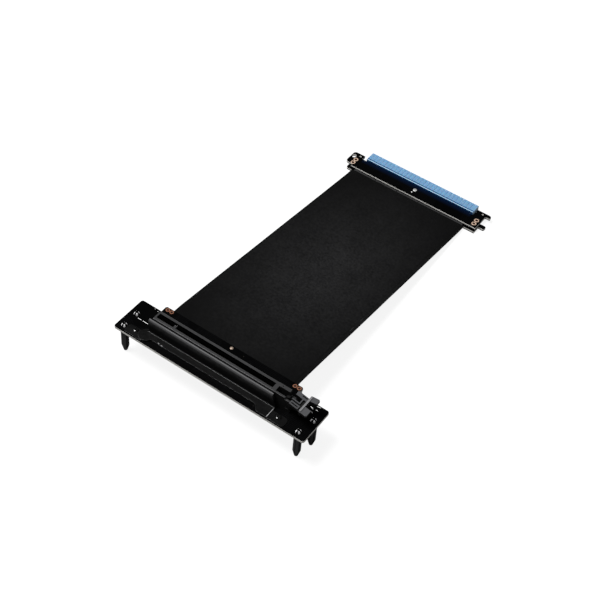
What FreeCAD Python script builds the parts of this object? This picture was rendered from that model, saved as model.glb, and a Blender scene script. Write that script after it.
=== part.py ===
import FreeCAD
import Part
import math
import os

# A flexible extension for an expansion card slot: a small board with a card slot stands on
# four nylon posts, a flat cloth-wrapped cable leaves its back edge, and the cable ends in
# a plug board whose contact edge is covered by a blue cap.
#
# Lengths are in millimetres. +X runs along the slot towards its latch, +Y from the slot to
# the plug, +Z up from the floor. While modelling, X is 0 at the middle of the slot board
# and Y is 0 at its front edge; the export moves Y so that 0 is the middle of the whole.

# Circuit boards
board_thickness = 1.6
clamp_thickness = 1.6
core_thickness = 1.0
board_left_of_housing = 21.1
board_right_of_housing = 29.3
slot_board_width = 26.8
slot_board_corner = 1.6
tail_length = 102.6
tail_depth = 5.0
tail_centre_x = -3.4
tail_corner = 0.8
clamp_setback = 0.5
slot_clamp_depth = 9.0

# Support posts
post_height = 20.6
post_left_from_end = 4.9
post_right_front_from_end = 6.2
post_right_rear_from_end = 3.8
post_front_y = 4.2
post_spacing_y = 11.5
post_across_flats = 4.5
post_foot_height = 4.9
post_foot_r = 1.3
post_neck_r = 1.4
post_barb_r = 1.9
post_barb_height = 1.9
post_tip_r = 1.1
post_split = 0.6
tip_sides = 12
hole_clearance = 0.1

# How far a cutting shape reaches past what it cuts, and a joined one into what it meets
cut_margin = 1.0

# Card slot housing
housing_length = 89.0
housing_width = 7.5
housing_height = 11.25
housing_front_y = 11.7
housing_edge_chamfer = 0.3
card_gap = 1.75
card_floor = 2.7
card_clearance = 0.1
card_gap_shift = 0.8
mouth_width = 3.6
mouth_depth = 1.1
mouth_chamfer = 0.9

# Card edge, shared by the slot and the plug
contact_pitch = 1.0
contacts_before_key = 11
contacts_after_key = 71
contact_edge_margin = 0.825
key_width = 1.9
key_clearance = 0.1
tab_depth = 8.25
key_depth_margin = 0.6
tab_chamfer = 0.5

# Slot contacts
contact_width = 0.4
contact_thickness = 0.2
contact_foot = 2.7
contact_touch = 0.75
contact_touch_height = 6.8
contact_tip = 1.5
contact_tip_height = 8.7
cavity_width = 0.6
cavity_reach = 2.9
cavity_height = 9.0

# Cheeks at the end of the housing, which hold the latch
cheek_front_thickness = 1.2
cheek_rear_thickness = 2.3
cheek_rear_low_thickness = 1.5
cheek_tall_length = 7.4
cheek_length = 11.1
cheek_front_step = 9.6
cheek_rear_step = 6.2
cheek_floor = 1.2
cheek_corner = 0.8
cheek_dimple_r = 0.45
cheek_dimple_depth = 2.0
cheek_dimple_x = 1.8

# Latch
pivot_from_housing = 9.2
pivot_height = 3.6
pivot_r = 1.0
pivot_clearance = 0.05
pivot_setback = 0.1
latch_side_clearance = 0.25
latch_hub_r = 1.9
latch_slab_start = 11.4
latch_slab_low = 8.3
latch_slab_high = 9.2
latch_arm_overlap = 0.3
latch_arm_drop = 0.8
latch_half_width = 5.3
latch_top_start = 11.3
latch_top_end = 9.9
latch_top_length = 6.6
latch_front_block_width = 2.7
latch_front_block_length = 5.8
latch_recess_width = 0.8
latch_recess_floor = 9.6
latch_root = 0.5
latch_rim_gap = 1.0
latch_rim = 0.7
latch_pocket_length = 4.2
latch_pocket_width = 3.2
latch_rear_block_length = 7.0
latch_rear_recess_length = 3.3
latch_bar_x = 18.9
latch_bar_thickness = 1.2
latch_bar_half_width = 6.85
latch_bar_top = 11.7
latch_wing_length = 4.3
latch_wing_half_width = 7.35
latch_wing_top = 11.2
latch_wing_thickness = 1.6
latch_notch_low = -1.7
latch_notch_high = 3.0
latch_notch_flare = 0.6
latch_corner = 0.6
latch_finger_width = 1.7
latch_finger_top_width = 1.3
latch_finger_below_top = 2.2
latch_tooth = 1.0
latch_tooth_slope = 0.9
latch_tooth_thickness = 0.6

# Guard in front of the slot
guard_gap = 0.8
guard_wall = 1.6
guard_height = 11.0
guard_shoulder_r = 1.5
guard_left_overhang = 1.5
guard_right_overhang = 3.0
guard_end_lean = 2.5
flange_thickness = 1.0
flange_front = 7.0
flange_crease = 0.4
foot_front = 11.0
foot_start = 81.1
foot_slope = 3.5
foot_inner_r = 1.6
foot_outer_r = 1.2
lobe_r = 4.6
lobe_x = -0.8
lobe_y = 5.8
end_tab_thickness = 0.5
end_tab_width = 6.6
end_tab_front = 11.0
end_tab_overhang = 14.0
end_tab_clearance = 0.3
end_tab_corner = 2.0
end_rib_offset = 5.2
end_rib_width = 0.4
end_rib_height = 0.4
end_rib_setback = 0.2

# Push rivets that hold the guard
rivet_from_housing = 8.25
rivet_front = 6.4
rivet_head_r = 1.9
rivet_head_height = 0.9
rivet_shank_r = 1.4
rivet_tail = 4.6
rivet_tail_r = 0.9
rivet_barb_drop = 1.6
rivet_slot = 0.5
rivet_slot_length = 2.3

# Cable
cable_width = 93.0
cable_wrap_thickness = 1.6
cable_wrap_wall = 0.25
cable_wrap_margin = 0.5
cable_length_y = 197.1
cable_drift_x = 3.1
cable_bend_length = 12.0
cable_bend_steps = 3
core_count = 5
core_gap = 0.5
core_side_margin = 1.9
core_clearance = 0.05
core_pad_length = 7.6

# Eyelets and solder points
slot_eyelet_from_left = 2.5
slot_eyelet_from_right = 1.9
slot_eyelet_pitch = 3.0
slot_eyelet_from_edge = 1.9
slot_eyelet_flange_r = 1.4
slot_eyelet_hole_r = 0.5
plug_eyelet_from_left = 5.35
plug_eyelet_from_right = 3.05
plug_eyelet_pitch = 3.8
plug_eyelet_from_edge = 3.5
plug_eyelet_flange_r = 1.7
plug_eyelet_hole_r = 0.7
eyelet_flange = 0.15
slot_solder_r = 1.1
plug_solder_r = 1.45
plug_small_solder_r = 0.6
solder_height = 0.3
plug_solder_from_edge = 6.7
plug_small_solder_from_edge = 3.6
plug_solder_left = 0.4
plug_small_solder_left = 1.0
small_round_sides = 12

# Plug board
plug_centre_x = 1.5
plug_shoulder_y = 10.7
plug_left = 56.1
plug_right = 52.5
plug_side_step = 2.0
plug_step_x = 6.0
plug_lug_width = 8.8
plug_lug_top = 14.5
plug_lug_corner = 2.2
plug_lug_hole_r = 1.65
plug_lug_hole_x = 2.1
plug_lug_hole_y = 4.5
plug_pin_hole_r = 0.75
plug_pin_hole_x = 2.6
plug_pin_hole_y = 2.6
hook_gap_from_tab = 2.2
hook_finger = 3.1
hook_reach = 3.6
hook_top = 17.4
hook_corner = 2.0
hook_inner_corner = 0.8
hook_spot_r = 0.6
hook_spot_from_side = 2.6
hook_spot_from_finger = 0.8
lower_setback = 2.7
lower_overhang = 1.2
lower_back = 9.5
lower_corner = 1.6
lower_finger_reach = 4.3
lower_finger_start = 5.0
lower_finger_width = 3.6
lower_finger_chamfer = 0.6
finger_width = 0.7
finger_length = 5.6
finger_thickness = 0.1
finger_setback = 1.1

# Cap over the contact edge
cap_side_wall = 1.4
cap_depth = 9.0
cap_height = 4.8
cap_clearance = 0.1
cap_chamfer = 0.5
cap_gap = 0.3
cap_groove_width = 0.4
cap_groove_depth = 0.35
cap_groove_setback = 0.9
cap_groove_margin = 1.4
cap_ridge_count = 29
cap_ridge_width = 1.0
cap_ridge_height = 0.15
cap_ridge_inset = 0.5

# Places worked out from the sizes
slot_board_bottom = post_height
slot_board_top = slot_board_bottom + board_thickness
slot_clamp_top = slot_board_bottom - core_thickness
slot_clamp_bottom = slot_clamp_top - clamp_thickness
tail_back_y = slot_board_width + tail_depth
plug_clamp_top = clamp_thickness
plug_board_bottom = plug_clamp_top + core_thickness
plug_board_top = plug_board_bottom + board_thickness
slot_board_length = board_left_of_housing + housing_length + board_right_of_housing
housing_left = board_left_of_housing - slot_board_length / 2
housing_right = housing_left + housing_length
housing_centre_x = housing_left + housing_length / 2
housing_centre_y = housing_front_y + housing_width / 2
housing_back_y = housing_front_y + housing_width
short_edge = (contacts_before_key - 1) * contact_pitch + 2 * contact_edge_margin
long_edge = (contacts_after_key - 1) * contact_pitch + 2 * contact_edge_margin
card_edge = short_edge + key_width + long_edge
card_left = housing_centre_x - card_gap_shift - card_edge / 2
cable_start_y = tail_back_y + cable_wrap_margin
cable_end_y = cable_start_y + cable_length_y
plug_front_y = cable_end_y + cable_wrap_margin + lower_overhang
shoulder_y = plug_front_y + plug_shoulder_y
cap_front_y = shoulder_y + cap_gap
cap_length = card_edge + 2 * cap_side_wall
overall_back_y = cap_front_y + cap_depth
slot_cable_z = slot_board_bottom - core_thickness / 2
plug_cable_z = plug_clamp_top + core_thickness / 2
slot_cable_x = tail_centre_x
plug_cable_x = slot_cable_x + cable_drift_x

# Where (u, v, w) lies for an outline drawn in each plane; w is the way it is extruded
PLANES = {
    "XY": lambda u, v, w: FreeCAD.Vector(u, v, w),
    "XZ": lambda u, v, w: FreeCAD.Vector(u, w, v),
    "YZ": lambda u, v, w: FreeCAD.Vector(w, u, v),
}


def block(x_span, y_span, z_span):
    """Box between the low and the high value on each axis."""
    corner = FreeCAD.Vector(x_span[0], y_span[0], z_span[0])
    return Part.makeBox(x_span[1] - x_span[0], y_span[1] - y_span[0], z_span[1] - z_span[0], corner)


def rod(x, y, z_low, z_high, radius):
    """Upright cylinder."""
    return Part.makeCylinder(radius, z_high - z_low, FreeCAD.Vector(x, y, z_low))


def sided(x, y, z_low, z_high, low_radius, high_radius, sides):
    """Upright prism or frustum with flat sides, measured across its corners."""
    rings = []
    for z, radius in ((z_low, low_radius), (z_high, high_radius)):
        angles = [math.radians(30) + math.tau * step / sides for step in range(sides)]
        rings.append([FreeCAD.Vector(x + radius * math.cos(angle), y + radius * math.sin(angle), z)
                      for angle in angles])
    low, high = rings
    outlines = [low, high]
    for side in range(sides):
        following = (side + 1) % sides
        outlines.append([low[side], low[following], high[following], high[side]])
    faces = [Part.Face(Part.makePolygon(outline + outline[:1])) for outline in outlines]
    return Part.Solid(Part.Shell(faces))


def small_round(x, y, z_low, z_high, radius):
    """Small disc or hole, with flat sides to keep it light."""
    return sided(x, y, z_low, z_high, radius, radius, small_round_sides)


def prism(plane, corners, low, high):
    """Extrude an outline between two levels. A corner is (u, v), with a radius as a third
    value where it is round, and with "flat" as a fourth where it is cut off straight."""
    place = PLANES[plane]
    points = [FreeCAD.Vector(corner[0], corner[1], 0) for corner in corners]
    edges = []
    line_ends = []
    for index, corner in enumerate(corners):
        size = corner[2] if len(corner) > 2 else 0
        point = points[index]
        before = (points[index - 1] - point).normalize()
        after = (points[(index + 1) % len(points)] - point).normalize()
        half_angle = before.getAngle(after) / 2
        setback = size if "flat" in corner else size / math.tan(half_angle)
        start = point + before * setback
        end = point + after * setback
        line_ends.append((start, end))
        if size > 0:
            spots = [place(spot.x, spot.y, low) for spot in (start, end)]
            edge = Part.makeLine(*spots)
            if "flat" not in corner:
                inward = (before + after).normalize()
                middle = point + inward * (size / math.sin(half_angle) - size)
                edge = Part.Arc(spots[0], place(middle.x, middle.y, low), spots[1]).toShape()
            edges.append(edge)
    for index, (start, end) in enumerate(line_ends):
        following = line_ends[(index + 1) % len(line_ends)][0]
        if (following - end).Length > 1e-6:
            edges.append(Part.makeLine(place(end.x, end.y, low), place(following.x, following.y, low)))
    face = Part.Face(Part.Wire(Part.__sortEdges__(edges)))
    return face.extrude(place(0, 0, high - low))


def joined(shapes):
    """Fuse solids that touch into one solid with no seams."""
    return shapes[0].multiFuse(shapes[1:]).removeSplitter()


def export(node, shape):
    """Write one node, moved so that the middle of the whole part is at Y 0."""
    shape = shape.copy()
    shape.translate(FreeCAD.Vector(0, -overall_back_y / 2, 0))
    shape.exportStep("parts/" + node + ".step")


def post_places():
    """Name and centre of each support post; the rear right one stands clear of the latch."""
    board_end = slot_board_length / 2
    left_x = -board_end + post_left_from_end
    rear_y = post_front_y + post_spacing_y
    return {
        "support_post_front_left": (left_x, post_front_y),
        "support_post_front_right": (board_end - post_right_front_from_end, post_front_y),
        "support_post_rear_left": (left_x, rear_y),
        "support_post_rear_right": (board_end - post_right_rear_from_end, rear_y),
    }


def rivet_places():
    """Name and centre of each guard rivet."""
    y = housing_front_y - rivet_front
    return {
        "guard_rivet_left": (housing_left - rivet_from_housing, y),
        "guard_rivet_right": (housing_right + rivet_from_housing, y),
    }


def slot_eyelet_places():
    """Centres of the four eyelets at the slot end, two side by side at each end of the tail."""
    y = tail_back_y - slot_eyelet_from_edge
    left_x = tail_centre_x - tail_length / 2 + slot_eyelet_from_left
    right_x = tail_centre_x + tail_length / 2 - slot_eyelet_from_right
    return [(x, y) for x in (left_x, left_x + slot_eyelet_pitch, right_x, right_x - slot_eyelet_pitch)]


def plug_eyelet_places():
    """Centres of the four eyelets at the plug end, one behind the other at each end."""
    first = plug_front_y + plug_eyelet_from_edge
    rows = (first, first + plug_eyelet_pitch)
    left_x = plug_centre_x - plug_left + plug_eyelet_from_left
    right_x = plug_centre_x + plug_right - plug_eyelet_from_right
    return [(x, y) for x in (left_x, right_x) for y in rows]


def slot_board():
    """Main board of the slot end, with the tail that the cable is clamped under."""
    half = slot_board_length / 2
    tail_left = tail_centre_x - tail_length / 2
    tail_right = tail_centre_x + tail_length / 2
    corners = [
        (-half, 0, slot_board_corner),
        (half, 0, slot_board_corner),
        (half, slot_board_width, slot_board_corner),
        (tail_right, slot_board_width),
        (tail_right, tail_back_y, tail_corner, "flat"),
        (tail_left, tail_back_y, tail_corner, "flat"),
        (tail_left, slot_board_width),
        (-half, slot_board_width, slot_board_corner),
    ]
    board = prism("XY", corners, slot_board_bottom, slot_board_top)
    holes = [(place, post_neck_r + hole_clearance) for place in post_places().values()]
    holes += [(place, rivet_shank_r + hole_clearance) for place in rivet_places().values()]
    z_span = (slot_board_bottom - cut_margin, slot_board_top + cut_margin)
    cutters = [rod(x, y, *z_span, radius) for (x, y), radius in holes]
    cutters += [small_round(x, y, *z_span, slot_eyelet_hole_r) for x, y in slot_eyelet_places()]
    return board.cut(cutters)


def support_post(x, y):
    """Nylon post: tapered foot, hexagonal body, neck through the board, split snap tip."""
    body_r = post_across_flats / math.sqrt(3)
    barb_low = slot_board_top + hole_clearance
    top = barb_low + post_barb_height
    foot = sided(x, y, 0, post_foot_height, post_foot_r, body_r, 6)
    body = sided(x, y, post_foot_height, post_height, body_r, body_r, 6)
    neck = rod(x, y, post_height, barb_low, post_neck_r)
    tip = sided(x, y, barb_low, top, post_barb_r, post_tip_r, tip_sides)
    reach = post_barb_r + cut_margin
    half = post_split / 2
    split = block((x - reach, x + reach), (y - half, y + half), (barb_low, top + cut_margin))
    return joined([foot, body, neck, tip]).cut(split)


def card_mouth():
    """Space that a card's edge enters: a wide mouth with a lead-in, then the card gap."""
    top = slot_board_top + housing_height
    half_mouth = mouth_width / 2
    half_gap = card_gap / 2
    lead_top = top - mouth_depth
    lead_low = lead_top - mouth_chamfer
    floor = slot_board_top + card_floor
    corners = [
        (housing_centre_y - half_mouth, top + cut_margin),
        (housing_centre_y - half_mouth, lead_top),
        (housing_centre_y - half_gap, lead_low),
        (housing_centre_y - half_gap, floor),
        (housing_centre_y + half_gap, floor),
        (housing_centre_y + half_gap, lead_low),
        (housing_centre_y + half_mouth, lead_top),
        (housing_centre_y + half_mouth, top + cut_margin),
    ]
    left = card_left - card_clearance
    right = card_left + card_edge + card_clearance
    return prism("YZ", corners, left, right)


def contact_columns(edge_left):
    """X of each contact along a card edge that starts at edge_left."""
    first = edge_left + contact_edge_margin
    columns = [first + step * contact_pitch for step in range(contacts_before_key)]
    second = edge_left + short_edge + key_width + contact_edge_margin
    columns += [second + step * contact_pitch for step in range(contacts_after_key)]
    return columns


def contact_cavities():
    """A narrow cavity for each contact on both sides of the gap, level with its floor."""
    cavities = []
    half = cavity_width / 2
    z_span = (slot_board_top + card_floor, slot_board_top + cavity_height)
    for side in (-1, 1):
        y_span = sorted((housing_centre_y, housing_centre_y + side * cavity_reach))
        for x in contact_columns(card_left):
            cavities.append(block((x - half, x + half), y_span, z_span))
    return cavities


def cheek_blocks():
    """The housing's tail: a floor and two stepped cheeks with the latch between them."""
    base = slot_board_top
    tall_end = housing_right + cheek_tall_length
    end = housing_right + cheek_length
    overlap = housing_right - cut_margin
    rear_low = housing_back_y - cheek_rear_low_thickness
    front = prism("XZ", [
        (overlap, base),
        (end, base),
        (end, base + cheek_front_step, cheek_corner, "flat"),
        (tall_end, base + cheek_front_step),
        (tall_end, base + housing_height, cheek_corner / 2, "flat"),
        (overlap, base + housing_height),
    ], housing_front_y, housing_front_y + cheek_front_thickness)
    rear_tall = block((overlap, tall_end), (housing_back_y - cheek_rear_thickness, housing_back_y),
                      (base, base + housing_height))
    rear = prism("XZ", [
        (overlap, base),
        (end, base),
        (end, base + cheek_rear_step, cheek_corner, "flat"),
        (overlap, base + cheek_rear_step),
    ], rear_low, housing_back_y)
    floor = block((overlap, end), (housing_front_y, housing_back_y), (base, base + cheek_floor))
    return [front, rear_tall, rear, floor]


def pivot_axis(radius, y_low, y_high):
    """Cylinder along the latch pivot."""
    x = housing_right + pivot_from_housing
    z = slot_board_top + pivot_height
    return Part.makeCylinder(radius, y_high - y_low, FreeCAD.Vector(x, y_low, z), FreeCAD.Vector(0, 1, 0))


def slot_housing():
    """Moulded slot body with its card gap, contact cavities, key and latch cheeks."""
    base = slot_board_top
    top = base + housing_height
    body = prism("YZ", [
        (housing_front_y, base),
        (housing_back_y, base),
        (housing_back_y, top, housing_edge_chamfer, "flat"),
        (housing_front_y, top, housing_edge_chamfer, "flat"),
    ], housing_left, housing_right)
    shell = joined([body] + cheek_blocks())
    dimple = rod(housing_right + cheek_dimple_x, housing_back_y - cheek_rear_thickness / 2,
                 top - cheek_dimple_depth, top + cut_margin, cheek_dimple_r)
    bore = pivot_axis(pivot_r + pivot_clearance, housing_front_y - cut_margin,
                      housing_back_y + cut_margin)
    key_left = card_left + short_edge + key_clearance
    key = block((key_left, key_left + key_width - 2 * key_clearance),
                (housing_centre_y - card_gap, housing_centre_y + card_gap),
                (base + card_floor - cut_margin, top - mouth_depth - mouth_chamfer / 2))
    mouth = card_mouth().cut(key)
    return shell.cut([mouth, dimple, bore] + contact_cavities()).removeSplitter()


def slot_contacts(side):
    """One row of spring contacts: a foot in the cavity, a slanted leg, a touch point and a thin tip."""
    outline = [
        (contact_foot, card_floor),
        (contact_foot - contact_thickness, card_floor),
        (contact_touch, contact_touch_height),
        (contact_tip, contact_tip_height),
        (contact_touch + contact_thickness, contact_touch_height),
    ]
    outline = [(housing_centre_y + side * reach, slot_board_top + height) for reach, height in outline]
    half = contact_width / 2
    contacts = [prism("YZ", outline, x - half, x + half) for x in contact_columns(card_left)]
    return Part.makeCompound(contacts)


def latch_stem():
    """Part of the latch between the cheeks: hub, card tooth and the arm up to the head."""
    base = slot_board_top
    pivot_x = housing_right + pivot_from_housing
    pivot_z = base + pivot_height
    y_low = housing_front_y + cheek_front_thickness + latch_side_clearance
    y_high = housing_back_y - cheek_rear_thickness - latch_side_clearance
    hub = pivot_axis(latch_hub_r, y_low, y_high)
    slab_z = base + latch_slab_low
    slab_x = housing_right + latch_slab_start
    bar_end = housing_right + latch_bar_x + latch_bar_thickness
    arm = prism("XZ", [
        (pivot_x - latch_hub_r * 0.6, pivot_z + latch_hub_r * 0.8),
        (pivot_x + latch_hub_r * 0.5, pivot_z - latch_hub_r * 0.86),
        (bar_end, slab_z - latch_arm_drop),
        (bar_end, slab_z + latch_arm_overlap),
        (slab_x + latch_pocket_length, slab_z + latch_arm_overlap),
        (slab_x + latch_pocket_length, slab_z - latch_arm_drop),
    ], y_low, y_high)
    finger_x = pivot_x - latch_hub_r
    tooth_x = finger_x - latch_tooth
    finger_top = base + housing_height - latch_finger_below_top
    finger = prism("XZ", [
        (finger_x, pivot_z),
        (pivot_x, pivot_z),
        (finger_x + latch_finger_top_width, finger_top),
        (tooth_x, finger_top - latch_tooth_slope),
        (tooth_x, finger_top - latch_tooth_slope - latch_tooth_thickness),
        (finger_x, finger_top - 2 * latch_tooth_slope - latch_tooth_thickness),
    ], housing_centre_y - latch_finger_width / 2, housing_centre_y + latch_finger_width / 2)
    return [hub, arm, finger]


def latch_raised_parts():
    """Blocks and rim on the latch head, whose tops slope down towards the thumb bar."""
    base = slot_board_top
    left = housing_right + latch_slab_start
    low = base + latch_slab_low
    high = base + latch_top_start + cut_margin
    front_y = housing_centre_y - latch_half_width
    front_inner_y = front_y + latch_front_block_width
    rim_y = front_inner_y + latch_rim_gap
    pocket_y = rim_y + latch_rim
    rear_y = pocket_y + latch_pocket_width
    back_y = housing_centre_y + latch_half_width
    recess_z = (base + latch_recess_floor, high)

    front_end = left + latch_front_block_length
    recess_y = (front_y + front_inner_y) / 2
    front = block((left, front_end), (front_y, front_inner_y), (low, high))
    front = front.cut(block((left + latch_rim, front_end - latch_rim),
                            (recess_y - latch_recess_width / 2, recess_y + latch_recess_width / 2),
                            recess_z))

    pocket_end = left + latch_pocket_length
    rim = block((left - latch_root, pocket_end + latch_rim), (rim_y, rear_y), (low, high))
    rim = rim.cut(block((left - cut_margin, pocket_end), (pocket_y, rear_y + cut_margin),
                        (low - cut_margin, high)))

    rear_end = left + latch_rear_block_length
    rear = block((left - latch_root, rear_end), (rear_y, back_y), (low, high))
    rear = rear.cut(block((rear_end - latch_rim - latch_rear_recess_length, rear_end - latch_rim),
                          (back_y - latch_rim - latch_recess_width, back_y - latch_rim), recess_z))

    slope_end = left + latch_top_length
    slope = prism("XZ", [
        (left - cut_margin, base + latch_top_start),
        (left, base + latch_top_start),
        (slope_end, base + latch_top_end),
        (slope_end + cut_margin, base + latch_top_end),
        (slope_end + cut_margin, high + cut_margin),
        (left - cut_margin, high + cut_margin),
    ], front_y - cut_margin, back_y + cut_margin)
    return [part.cut(slope) for part in (front, rim, rear)]


def latch_head():
    """Thumb end of the latch: slab with raised parts, cross bar and two wings."""
    base = slot_board_top
    left = housing_right + latch_slab_start
    bar_left = housing_right + latch_bar_x
    bar_right = bar_left + latch_bar_thickness
    front_y = housing_centre_y - latch_half_width
    back_y = housing_centre_y + latch_half_width
    pocket_y = front_y + latch_front_block_width + latch_rim_gap + latch_rim
    slab = block((left, bar_right), (front_y, back_y), (base + latch_slab_low, base + latch_slab_high))
    slab = slab.cut(block((left - cut_margin, left + latch_pocket_length),
                          (pocket_y, pocket_y + latch_pocket_width), (base, base + housing_height)))
    bar = prism("YZ", [
        (housing_centre_y - latch_bar_half_width, base + latch_slab_low),
        (housing_centre_y + latch_bar_half_width, base + latch_slab_low),
        (housing_centre_y + latch_bar_half_width, base + latch_bar_top, latch_corner, "flat"),
        (housing_centre_y - latch_bar_half_width, base + latch_bar_top, latch_corner, "flat"),
    ], bar_left, bar_right)
    wing_start = (bar_left + bar_right) / 2
    wing_end = bar_right + latch_wing_length
    wing_span = (base + latch_wing_top - latch_wing_thickness, base + latch_wing_top)
    wings = []
    for side, notch_y in ((-1, latch_notch_low), (1, latch_notch_high)):
        inner = housing_centre_y + notch_y
        outer = housing_centre_y + side * latch_wing_half_width
        root = housing_centre_y + side * latch_bar_half_width
        wings.append(prism("XY", [
            (wing_start, inner),
            (wing_end, inner + side * latch_notch_flare),
            (wing_end, outer, latch_corner, "flat"),
            (wing_start, root),
        ], *wing_span))
    return [slab, bar] + wings + latch_raised_parts()


def slot_latch():
    """Card latch with its two pivot stubs, one solid."""
    pivot = pivot_axis(pivot_r, housing_front_y + pivot_setback, housing_back_y - pivot_setback)
    return joined(latch_stem() + latch_head() + [pivot])


def slot_guard():
    """Moulded guard: rounded wall along the slot, flange, feet and riveted end tabs."""
    base = slot_board_top
    inner = housing_front_y - guard_gap
    outer = inner - guard_wall
    front = housing_front_y - flange_front
    wall_left = housing_left - guard_left_overhang
    wall_right = housing_right + guard_right_overhang
    section = [
        (inner, base),
        (inner, base + guard_height),
        (outer, base + guard_height, guard_shoulder_r),
        (outer, base + flange_thickness, flange_crease, "flat"),
        (front, base + flange_thickness),
        (front, base),
    ]
    wall = prism("YZ", section, wall_left, wall_right)
    lean = prism("XZ", [
        (wall_right, base + flange_thickness),
        (wall_right + cut_margin, base + flange_thickness),
        (wall_right + cut_margin, base + guard_height + cut_margin),
        (wall_right - guard_end_lean, base + guard_height + cut_margin),
        (wall_right - guard_end_lean, base + guard_height - guard_shoulder_r),
    ], outer - cut_margin, inner + cut_margin)
    foot_y = housing_front_y - foot_front
    start_x = housing_left + foot_start
    join_x = start_x - foot_slope
    foot = prism("XY", [
        (join_x, front + cut_margin),
        (join_x, front),
        (start_x, front, foot_inner_r),
        (start_x + foot_slope, foot_y, foot_outer_r),
        (wall_right, foot_y),
        (wall_right, front + cut_margin),
    ], base, base + flange_thickness)
    lobe = rod(housing_left + lobe_x, housing_front_y - lobe_y, base, base + flange_thickness, lobe_r)
    tabs = []
    tab_front = housing_front_y - end_tab_front
    left_post_x = post_places()["support_post_front_left"][0]
    tab_ends = [
        (housing_left + lobe_x, left_post_x + post_barb_r + end_tab_clearance),
        (wall_right - cut_margin, housing_right + end_tab_overhang),
    ]
    for inside, outside in tab_ends:
        tabs.append(prism("XY", [
            (inside, tab_front),
            (outside, tab_front, end_tab_corner),
            (outside, tab_front + end_tab_width, end_tab_corner),
            (inside, tab_front + end_tab_width),
        ], base, base + end_tab_thickness))
    rib_x = housing_right + end_rib_offset
    rib = block((rib_x, rib_x + end_rib_width),
                (tab_front + end_rib_setback, tab_front + end_tab_width - end_rib_setback),
                (base, base + end_tab_thickness + end_rib_height))
    holes = [rod(x, y, base - cut_margin, base + guard_height, rivet_shank_r + hole_clearance)
             for x, y in rivet_places().values()]
    return joined([wall.cut(lean), foot, lobe, rib] + tabs).cut(holes)


def guard_rivet(x, y):
    """Nylon push rivet: low round head with a slot, plain shank with a tapered tail."""
    seat = slot_board_top + end_tab_thickness
    tail_top = slot_board_bottom - rivet_barb_drop
    shank = rod(x, y, tail_top, seat, rivet_shank_r)
    head = rod(x, y, seat, seat + rivet_head_height, rivet_head_r)
    tail = sided(x, y, slot_board_bottom - rivet_tail, tail_top, rivet_tail_r, rivet_shank_r, tip_sides)
    half = rivet_slot / 2
    reach = rivet_slot_length / 2
    slot = block((x - reach, x + reach), (y - half, y + half),
                 (seat + rivet_head_height / 2, seat + rivet_head_height + cut_margin))
    return joined([shank, head, tail]).cut(slot)


def slot_clamp():
    """Lower board that holds the cable against the slot board's tail."""
    half = tail_length / 2 - clamp_setback
    back = tail_back_y - clamp_setback
    return block((tail_centre_x - half, tail_centre_x + half), (back - slot_clamp_depth, back),
                 (slot_clamp_bottom, slot_clamp_top))


def eyelets(places, board_top, hole_r, flange_r):
    """Flat copper rings round plated holes, on a board's upper face."""
    rings = []
    for x, y in places:
        ring = small_round(x, y, board_top, board_top + eyelet_flange, flange_r)
        rings.append(ring.cut(small_round(x, y, board_top - cut_margin, board_top + cut_margin, hole_r)))
    return Part.makeCompound(rings)


def slot_solder_point():
    """Solder point in the middle of the slot board's tail."""
    return small_round(tail_centre_x, tail_back_y - slot_eyelet_from_edge,
                       slot_board_top, slot_board_top + solder_height, slot_solder_r)


def plug_solder_points():
    """Two solder points in the middle of the plug board, a large and a small one."""
    top = plug_board_top + solder_height
    large = small_round(plug_centre_x - plug_solder_left, plug_front_y + plug_solder_from_edge,
                        plug_board_top, top, plug_solder_r)
    small = small_round(plug_centre_x - plug_small_solder_left, plug_front_y + plug_small_solder_from_edge,
                        plug_board_top, top, plug_small_solder_r)
    return Part.makeCompound([large, small])


def cable_stations(start, end):
    """Places along the cable as (y, x, z): level at both clamps, one even slope between."""
    ys = [start, end]
    for step in range(cable_bend_steps + 1):
        share = step / cable_bend_steps
        ys.append(cable_start_y + cable_bend_length * share)
        ys.append(cable_end_y - cable_bend_length * share)
    ys = sorted(set(y for y in ys if start <= y <= end))
    run = cable_end_y - cable_start_y
    slope = (slot_cable_z - plug_cable_z) / (run - cable_bend_length)
    stations = []
    for y in ys:
        travelled = min(max(y - cable_start_y, 0), run)
        to_end = run - travelled
        drop = slope * (travelled - cable_bend_length / 2)
        if travelled < cable_bend_length:
            drop = slope * travelled ** 2 / (2 * cable_bend_length)
        if to_end < cable_bend_length:
            drop = slot_cable_z - plug_cable_z - slope * to_end ** 2 / (2 * cable_bend_length)
        x = slot_cable_x + (plug_cable_x - slot_cable_x) * travelled / run
        stations.append((y, x, slot_cable_z - drop))
    return stations


def flat_run(stations, left, right, thickness):
    """Flat strip along the stations, from left to right of the cable's middle."""
    wires = []
    for y, x, z in stations:
        half = thickness / 2
        points = [(x + left, z - half), (x + right, z - half), (x + right, z + half), (x + left, z + half)]
        points.append(points[0])
        wires.append(Part.makePolygon([FreeCAD.Vector(px, y, pz) for px, pz in points]))
    return Part.makeLoft(wires, True, True)


def cable_wrap():
    """Cloth sleeve round the flat cables, open at both ends."""
    stations = cable_stations(cable_start_y, cable_end_y)
    half = cable_width / 2
    outer = flat_run(stations, -half, half, cable_wrap_thickness)
    inner_half = half - cable_wrap_wall
    inner = flat_run(stations, -inner_half, inner_half, cable_wrap_thickness - 2 * cable_wrap_wall)
    return outer.cut(inner)


def flat_cables():
    """Flat cables side by side inside the sleeve, from pads at the slot to pads at the plug."""
    start = cable_start_y - cable_wrap_margin - core_pad_length
    end = cable_end_y + cable_wrap_margin + lower_overhang + core_pad_length
    stations = cable_stations(start, end)
    span = cable_width - 2 * core_side_margin
    width = (span - (core_count - 1) * core_gap) / core_count
    shapes = []
    for index in range(core_count):
        left = -span / 2 + index * (width + core_gap)
        shapes.append(flat_run(stations, left, left + width, core_thickness - 2 * core_clearance))
    return shapes


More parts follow.
